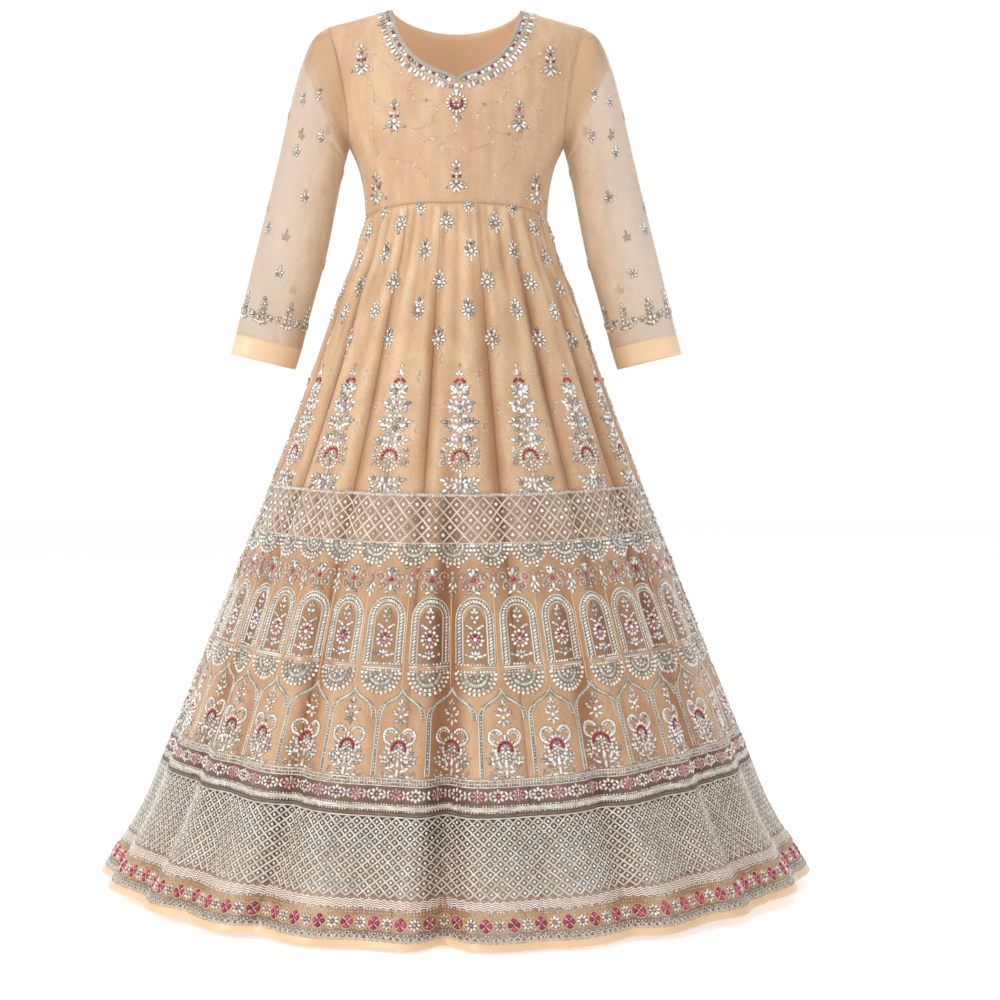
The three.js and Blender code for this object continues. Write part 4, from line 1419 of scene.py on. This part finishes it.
rosettes = fan_ground(0, round_skirt(FANS_TOP, BETWEEN))
rosettes += skirt_sewn(np.vstack([fan(0, 0, 25), pendant()]), round_skirt(FANS_TOP, BETWEEN))
embroidery("half_rosettes", rosettes)

# %% [markdown]
# ## Arches
# A row of mihrab arches: a silver line inside, slanted stones between it and the outer line, and
# a double bar at the foot with a fan of stones below it. A flower with leaves stands inside.

# %% Arches
def arch_path(half, straight, top, steps=7):
    """Up one side, over the round head and down the other."""
    side = np.array([[-half, 0.0], [-half, straight]])
    circle = arc(0, 0, 1.0, -90, 180, 2 * steps)[1:-1]
    head = circle * np.array([half, top - straight]) + np.array([0, straight])
    return np.vstack([side, head, flipped(side)[::-1]])


def arch_flower():
    """The flower inside an arch, on a spread foot and with a spray over it."""
    return np.vstack([
        spray(0, 60, 0, 10, 2, 7.4, 3.4), mark(0, 57, 0, 5.2, 4.8),
        both(leaf(2.0, 46, 56, 10, 4.4, WHITE), leaf(8.5, 51.5, 84, 6, 4.0, WHITE)),
        ring(0, 33, 10.4, 11, 6.0, 5.2, WHITE), ring(0, 33, 5.8, 8, 4.4, 4.0, PINK),
        ring(0, 33, 5.8, 3, 4.6, 4.2, MAGENTA, -60, 120), mark(0, 33, 0, 7.4, 7.0), leaf(0, 19, 180, 8, 4.0),
        both(leaf(1.5, 10, 84, 9, 4.8), leaf(9.5, 11, 70, 7.5, 4.4), leaf(1.5, 12, 44, 7.5, 4.0)),
        mark(0, 8, 0, 6.0, 5.0),
    ])


RIM_IN, RIM_OUT = arch_path(18.0, 62, 80), arch_path(28.0, 60, 90)
RIM_MIDDLE = arch_path(23.0, 61, 85)
slanted = np.vstack([strung(RIM_MIDDLE, 4.5, 8.0, 4.0, WHITE, slant=46), strung(RIM_OUT, 5.4, 3.2, 3.2)])
bars = [strung(np.array([[-27.0, y], [27.0, y]]), 4.6, 4.4, 4.2) for y in (-1.0, -10.5)]
arch = np.vstack([slanted, arch_flower(), finial(), *bars, fan(0, -14, 26)])
panels = round_skirt(ARCH_FOOT)
# a wide band of the darker edging thread under the slanted stones, partly painted shade between them
arches = skirt_cords(RIM_MIDDLE, panels, 9.5, 0.45, SETTING_AND_SHADE)
arches += fan_ground(-14, panels)
arches += skirt_sewn(arch, panels)
foot_lines = [np.array([[-28.0, y], [0.0, y], [28.0, y]]) for y in (-4.6, -7.2)]
for path in (RIM_IN, RIM_OUT, *foot_lines):
    arches += skirt_cords(path, panels, 2.2, 1.1)
spine = np.array([[30.8, y] for y in (96.0, 60.0, 25.0, -8.0, -30.0)])
arches += skirt_cords(spine, panels, 1.6, 1.0, PEACH)
embroidery("arches", arches)

# %% [markdown]
# ## Ogee frames and their plants
# Below, double lines rise to a point between each two fans and run down in columns. They frame
# a flowering plant with scrolls, a medallion and sprays. The S-shaped head of each frame is an
# ogee, drawn here as one cubic curve with two handles.

# %% Ogees
def plant():
    """A plant for an ogee: scrolls over a medallion, with sprays at its foot and tip."""
    return np.vstack([
        spray(0, 88, 0, 10, 2, 7.5, 3.4),
        both(leaf(3, 82, 66, 10, 5.0, WHITE), mark(10.5, 88, 60, 5.4, 4.6, PINK)),
        mark(0, 81, 0, 7.0, 6.6), both(leaf(2, 77, 112, 9, 4.6)), leaf(0, 77, 180, 10, 5.0),
        both(strung(arc(13.5, 55, 10.0, -70, 250, 12), 3.9, 6.4, 5.0, WHITE),
             strung(arc(13.5, 55, 6.2, -70, 230, 12), 3.6, 3.8, 3.0)),
        medallion(0, 38, 14.5), mark(0, 56, 0, 5.4, 4.8), leaf(0, 26, 180, 14, 6.6),
        leaf(0, 14, 180, 12, 5.8),
        both(spray(14, 18, 12, 18, 3, 7.4, 3.4), spray(9, 14, 52, 17, 3, 7.2, 3.2),
             leaf(5, 20, 150, 10, 4.6)),
        both(curl(21, 6, 4.6, 0, 300), leaf(3, 8, 72, 12, 5.0), leaf(2, 3, 96, 11, 4.6),
             leaf(12, 3, 100, 8, 4.0)),
        mark(0, 4, 0, 6.0, 5.6),
    ])


OGEE_FOOT, OGEE_PEAK = 0.7925, 117.5
HALF_SPACE = 34.8
head = bezier((0, OGEE_PEAK), (-6, 98), (-HALF_SPACE, 106), (-HALF_SPACE, 78))
ogee = np.vstack([head, [[-HALF_SPACE, 54.0], [-HALF_SPACE, 28.0], [-HALF_SPACE, 3.0]]])
beside = round_skirt(OGEE_FOOT, BETWEEN)
column_stones = strung(ogee[8:], 4.2, 3.4, 3.2)
ogees = []
# bands of the darker edging thread under the frame's stones, partly painted shade between them
for path in (ogee, flipped(head)):
    ogees += skirt_cords(path, beside, 6.4, 0.4, SETTING_AND_SHADE)
framed_plant = np.vstack([plant(), both(strung(head, 4.2, 3.6, 3.0)), column_stones])
ogees += skirt_sewn(framed_plant, beside)
for offset in (-2.7, 2.7):
    line = ogee + np.array([offset, 0.0])
    line[:6, 1] += offset * 0.9
    for path in (line, flipped(line)[:9]):
        ogees += skirt_cords(path, beside, 1.8, 1.1)
embroidery("ogees", ogees)

# %% [markdown]
# ## Flower band and hem
# Narrow borders close the design: a line of small white and pink flowers on taupe thread between
# silver lines, then, under the fine lattice, peach thread rows and the hem's row of flowers. A
# magenta one with four petals and a white one with eight take turns, each in a thin round frame.

# %% Flower band
def small_flower(petal, heart):
    """Eight petals round a ring of dots and one stone."""
    return np.vstack([ring(0, 0, 6.4, 8, 7.0, 4.8, petal), ring(0, 0, 3.0, 6, 2.6, 2.4, heart),
                      mark(0, 0, 0, 3.6)])


def scroll_link():
    """The crossed leaves between two flowers."""
    return both(leaf(0.6, 0, 38, 8, 4.0, WHITE), leaf(0.6, 0, 142, 8, 4.0, WHITE),
                leaf(0.6, 0, 90, 5, 3.0, PINK))


FLOWER_STEP, FLOWER_ROW = 3.6, 0.813
band = skirt_sewn(small_flower(WHITE, MAGENTA), round_skirt(FLOWER_ROW, 0.0, FLOWER_STEP * 2))
band += skirt_sewn(small_flower(PINK, WHITE), round_skirt(FLOWER_ROW, FLOWER_STEP, FLOWER_STEP * 2))
band += skirt_sewn(scroll_link(), round_skirt(FLOWER_ROW, FLOWER_STEP / 2, FLOWER_STEP))
for share, pitch, size in ((0.7955, 3.8, 3.2), (0.7998, 3.8, 3.0), (0.8255, 3.8, 3.2), (0.8335, 3.8, 3.0)):
    band += bead_line(share, pitch, size)
for share, wide in ((0.7935, 2.0), (0.7977, 2.0), (0.8020, 1.8), (0.8283, 3.2), (0.8310, 3.2), (0.8408, 2.0)):
    band += level_cord(share, wide)
band += level_cord(0.8375, 3.0, 0.7, TAUPE)
embroidery("flower_band", band)

# %% [markdown]
# ## Hem border
# The hem takes the most wear, so its border is the densest. Wavy thread rows lead down to it.
# Then flowers of two kinds take turns between lines of small stones, and the last line is a
# guilloche: two cords that wave over each other with a stone in each eye.

# %% Hem border
magenta_flower = np.vstack([
    ring(0, 0, 5.2, 4, 8.0, 7.6, MAGENTA), ring(0, 0, 4.4, 4, 8.0, 2.2, WHITE, 45),
    mark(0, 0, 0, 2.8, 2.8, WHITE),
])
white_flower = np.vstack([
    ring(0, 0, 5.6, 8, 6.6, 4.4, WHITE), mark(0, 0, 0, 4.6, 4.6, PINK), mark(0, 0, 0, 2.8, 2.8, MAGENTA),
])
HEM_FLOWERS, HEM_ROW = 176, 0.9695
hem_step = 720 / HEM_FLOWERS
hem = skirt_sewn(magenta_flower, round_skirt(HEM_ROW, 0.0, hem_step))
hem += skirt_sewn(white_flower, round_skirt(HEM_ROW, hem_step / 2, hem_step))
frames_round = round_skirt(HEM_ROW, 0.0, hem_step / 2)
hem += skirt_cords(arc(0, 0, 9.4, 0, 360, 12), frames_round, 1.2, 0.8, PEACH)
corner_leaves = both(leaf(8.6, 5.5, 20, 3.4, 2.2, SILVER), leaf(8.6, -5.5, 160, 3.4, 2.2, SILVER))
hem += skirt_sewn(corner_leaves, frames_round)
embroidery("hem_flowers", hem)

borders = []
for share in (0.9425, 0.9452, 0.9479, 0.9506):
    borders += level_cord(share, 1.5, 0.8, WHITE, 1.1, 300, 1200)
# share of the length, pitch and size in mm, finish
BORDER_BEADS = [(0.9400, 3.8, 2.6, SILVER), (0.9535, 4.0, 3.4, CLEAR), (0.9575, 4.0, 2.8, SILVER),
                (0.9815, 4.0, 2.8, CLEAR), (0.9862, 5.2, 3.2, CLEAR), (0.9905, 3.6, 2.6, SILVER)]
for share, pitch, size, finish in BORDER_BEADS:
    borders += bead_line(share, pitch, size, finish)
for shift in (0.0, 180.0):
    borders += level_cord(0.9862, 1.5, 0.9, SILVER, 3.0, 180, 1440, shift)
embroidery("hem_borders", borders)

# %% [markdown]
# ## Neck band
# A band of stones follows the neckline: a line of round ones and magenta dots, and a fringe of
# leaf stones that hang from it, with a pendant medallion at the point. It is worked on a ground
# of its own, which is measured along the neck edge and out from it.

# %% Neck band
def plain(u, v):
    """On a ground that is already in millimetres, a step of u or v is one."""
    return 1.0


BODICE_GROUND = Ground(lambda u, v: bodice(u, v, -1), plain, plain, (1.0, 1.0))
BACK_GROUND = Ground(lambda u, v: bodice(-u, v, 1), plain, plain, (1.0, 1.0))


def neck_point(u, v):
    """Places by the neckline: u is mm along it from its middle, v is mm out from its edge."""
    way = np.clip(np.abs(u) / NECK_HALF_LENGTH, 0, 1)
    way = np.interp(way, NECK_WAY, np.linspace(0, 1, len(NECK_WAY))) * np.sign(u)
    size = np.abs(way)
    neck_x, neck_drop = front_neck(size)
    ahead_x, ahead_drop = front_neck(np.clip(size + 0.02, 0, 1))
    behind_x, behind_drop = front_neck(np.clip(size - 0.02, 0, 1))
    along = np.stack([ahead_x - behind_x, ahead_drop - behind_drop], axis=-1)
    along /= np.linalg.norm(along, axis=-1, keepdims=True)
    x = (neck_x - along[..., 1] * v) * np.where(u < 0, -1, 1)
    return bodice(x, neck_drop + along[..., 0] * v, -1)


ways = np.linspace(0, 1, 101)
neck_steps = np.stack(front_neck(ways), axis=-1)
neck_run = np.concatenate([[0], np.cumsum(np.linalg.norm(np.diff(neck_steps, axis=0), axis=1))])
NECK_HALF_LENGTH = neck_run[-1]
NECK_WAY = neck_run / NECK_HALF_LENGTH
print("neckline, mm:", round(2 * NECK_HALF_LENGTH))
NECK_GROUND = Ground(neck_point, plain, plain, (0.8, 0.8))


def along_neck(pitch, offset, v, start):
    """Anchors both ways from the middle, v mm out from the edge."""
    one = np.arange(start + offset, NECK_HALF_LENGTH - 1, pitch)
    return np.array([[side * u, v] for u in one for side in (1, -1)])


NECK_PITCH = 10.6
# motif, pitch and start along the neckline, distance from its edge, where counting starts
NECK_ROWS = [
    (mark(0, 0, 0, 3.4), 3.9, 1.0, 2.4, 2.0), (mark(0, 0, 0, 7.8), NECK_PITCH, 6.0, 8.4, 2.0),
    (mark(0, 0, 0, 5.2, 5.0, MAGENTA), 2 * NECK_PITCH, 11.3, 7.2, 2.0),
    (mark(0, 0, 0, 5.0, 4.8), 2 * NECK_PITCH, 21.9, 7.2, 2.0),
    (mark(0, 0, 0, 3.4, 3.4, SILVER), NECK_PITCH, 11.3, 11.4, 2.0),
    (leaf(0, 0, 180, 13.5, 7.0), NECK_PITCH, 11.3, 13.6, 0.0),
    (leaf(0, 0, 180, 9.5, 5.0), NECK_PITCH, 16.6, 13.0, 0.0),
]
neck = []
for motif, pitch, offset, out, start in NECK_ROWS:
    neck += sewn(NECK_GROUND, motif, along_neck(pitch, offset, out, start))
RIM_POINTS = 160
rim = np.linspace(-NECK_HALF_LENGTH + 0.5, NECK_HALF_LENGTH - 0.5, RIM_POINTS)
for out in (4.4, 12.6):
    neck += couched(NECK_GROUND, np.stack([rim, np.full(RIM_POINTS, out)], axis=-1)[None], 1.6, 1.0)
POINT_DROP = NECKLINE[0, 2]
pendant_stones = np.vstack([
    mark(0, -9, 0, 8.5, 8.5), mark(0, -18, 0, 8.0, 7.5), both(mark(8, -11, 40, 7, 6)),
    ring(0, -36, 13.5, 16, 6.0, 4.8, WHITE), ring(0, -36, 8.6, 9, 5.0, 4.4, MAGENTA, 68, 224),
    ring(0, -36, 4.6, 5, 5.4, 4.4, CLEAR), mark(0, -36, 0, 4.6), leaf(0, -50, 180, 7, 5.0),
    both(leaf(1, -56, 128, 7.5, 4.4)), leaf(0, -57, 180, 11, 5.4), mark(0, -71, 0, 3.6),
])
neck += sewn(BODICE_GROUND, pendant_stones, np.array([[0.0, POINT_DROP + 2]]))
embroidery("neck_band", neck)

# %% [markdown]
# ## Bodice motifs
# Seven small trees stand on the front and six behind. Thin vines of peach thread wander between
# the front ones, with tiny white flowers along them. On the back only the flowers are worked.

# %% Bodice motifs
# a little tree: a bud, magenta stones and a spreading foot
small_tree = np.vstack([
    leaf(0, 24, 0, 9, 5.0), both(leaf(1.5, 21, 48, 7.5, 4.2)), mark(0, 18, 0, 5.0, 4.6, MAGENTA),
    both(leaf(1.5, 9, 50, 10, 5.2), mark(5.0, 7, 60, 4.6, 4.2, MAGENTA)), mark(0, 11, 0, 6.6, 6.0),
    leaf(0, 3, 0, 7, 4.6), mark(0, 0, 0, 8.0, 7.0),
    both(leaf(3, -2, 98, 9, 4.8), leaf(2, -4, 128, 11, 5.2), mark(15, -9, 130, 5.2, 4.8)),
    leaf(0, -5, 180, 10, 5.4), both(leaf(1, -8, 158, 10, 4.6)),
])
# x and drop of each tree's middle; the last is left off the back
BODICE_TREES = table((-93, 180), (94, 180), (0, 271), (-122, 284), (121, 284), (-143, 92), (142, 94))
bodice_work = sewn(BODICE_GROUND, small_tree, BODICE_TREES)
bodice_work += sewn(BACK_GROUND, small_tree, BODICE_TREES[:6])
tiny_flower = np.vstack([ring(0, 0, 2.2, 4, 3.6, 2.2, WHITE, 20), mark(0, 0, 0, 1.8, 1.8)])
# each vine's two ends and, between them, its two handles
VINES = [
    ((-60, 112), (-84, 130), (-70, 158), (-44, 150)), ((-44, 150), (-20, 160), (-30, 190), (-66, 196)),
    ((-130, 120), (-112, 150), (-140, 190), (-118, 226)), ((-118, 226), (-84, 250), (-60, 232), (-44, 268)),
    ((60, 112), (86, 132), (72, 160), (42, 156)), ((42, 156), (20, 172), (40, 204), (78, 200)),
    ((78, 200), (104, 206), (80, 240), (60, 262)), ((132, 124), (118, 160), (138, 196), (122, 240)),
    ((-20, 214), (-50, 226), (20, 232), (54, 214)), ((-150, 60), (-120, 70), (-110, 100), (-84, 110)),
    ((150, 62), (122, 72), (112, 100), (86, 108)), ((0, 198), (-14, 210), (-36, 206), (-52, 214)),
]
blooms = []
for corners in VINES:
    path = bezier(*corners, steps=12)
    bodice_work += couched(BODICE_GROUND, path[None], 0.8, 0.9, PEACH)
    blooms += list(path[::4])
bodice_work += sewn(BODICE_GROUND, tiny_flower, np.array(blooms), bed=False)
# on the back, none on the centre seam or up by the neck
beside_seam = np.array([place for place in blooms if abs(place[0]) > 20 and place[1] > 100])
bodice_work += sewn(BACK_GROUND, tiny_flower, beside_seam, bed=False)
embroidery("bodice_work", bodice_work)

# %% [markdown]
# ## Sleeve sprigs
# A few sprigs are scattered on each sleeve and a row of sprays stands over the cuff. They are
# worked once, on the right sleeve. The left sleeve's are their mirror image, as a pair is cut.

# %% Sleeve sprigs
def sleeve_across(u, v):
    """Width of a degree round the sleeve, in mm."""
    step = sleeve(u + 1.0, v) - sleeve(u - 1.0, v)
    return np.linalg.norm(step, axis=-1) / 2


def sleeve_down(u, v):
    """Length of a ring down the sleeve, in mm."""
    step = sleeve(u, v + 0.02) - sleeve(u, v - 0.02)
    return np.linalg.norm(step, axis=-1) / 0.04


SLEEVE_GROUND = Ground(sleeve, sleeve_across, sleeve_down, (2.0, 0.03))
sprig = np.vstack([
    ring(0, 0, 4.4, 5, 6.0, 3.8), mark(0, 0, 0, 3.6), leaf(0, 6, 0, 6, 3.2), both(mark(6.5, 6, 0, 2.2, 2.2)),
])
cuff_spray = np.vstack([
    spray(0, 2, 0, 24, 4, 6.5, 2.8), both(spray(3, 0, 62, 12, 2, 6, 2.6)), leaf(0, 0, 180, 8, 4.4),
    both(leaf(1, -1, 125, 7, 3.4)),
])
# angle round the sleeve and ring down it
SPRIGS = table(
    (-12, 1.9), (-38, 2.7), (10, 3.0), (-28, 3.7), (4, 4.35), (-52, 4.9), (-8, 5.5), (170, 2.4),
    (215, 3.3), (150, 4.1), (200, 4.9), (165, 5.7), (95, 3.6), (-95, 3.2), (-100, 4.6), (95, 5.2),
)
SPRAYS = table(
    (-64, 6.45), (-22, 6.5), (26, 6.5), (70, 6.45), (115, 6.5), (160, 6.45), (205, 6.5), (250, 6.45),
)


def mirrored_parts(parts):
    """The other side's parts, with their faces turned to point outwards."""
    return [(mirrored(corners), master[:, ::-1], finish) for corners, master, finish in parts]


sleeve_work = sewn(SLEEVE_GROUND, sprig, SPRIGS) + sewn(SLEEVE_GROUND, cuff_spray, SPRAYS)
embroidery("sleeve_work", sleeve_work + mirrored_parts(sleeve_work))
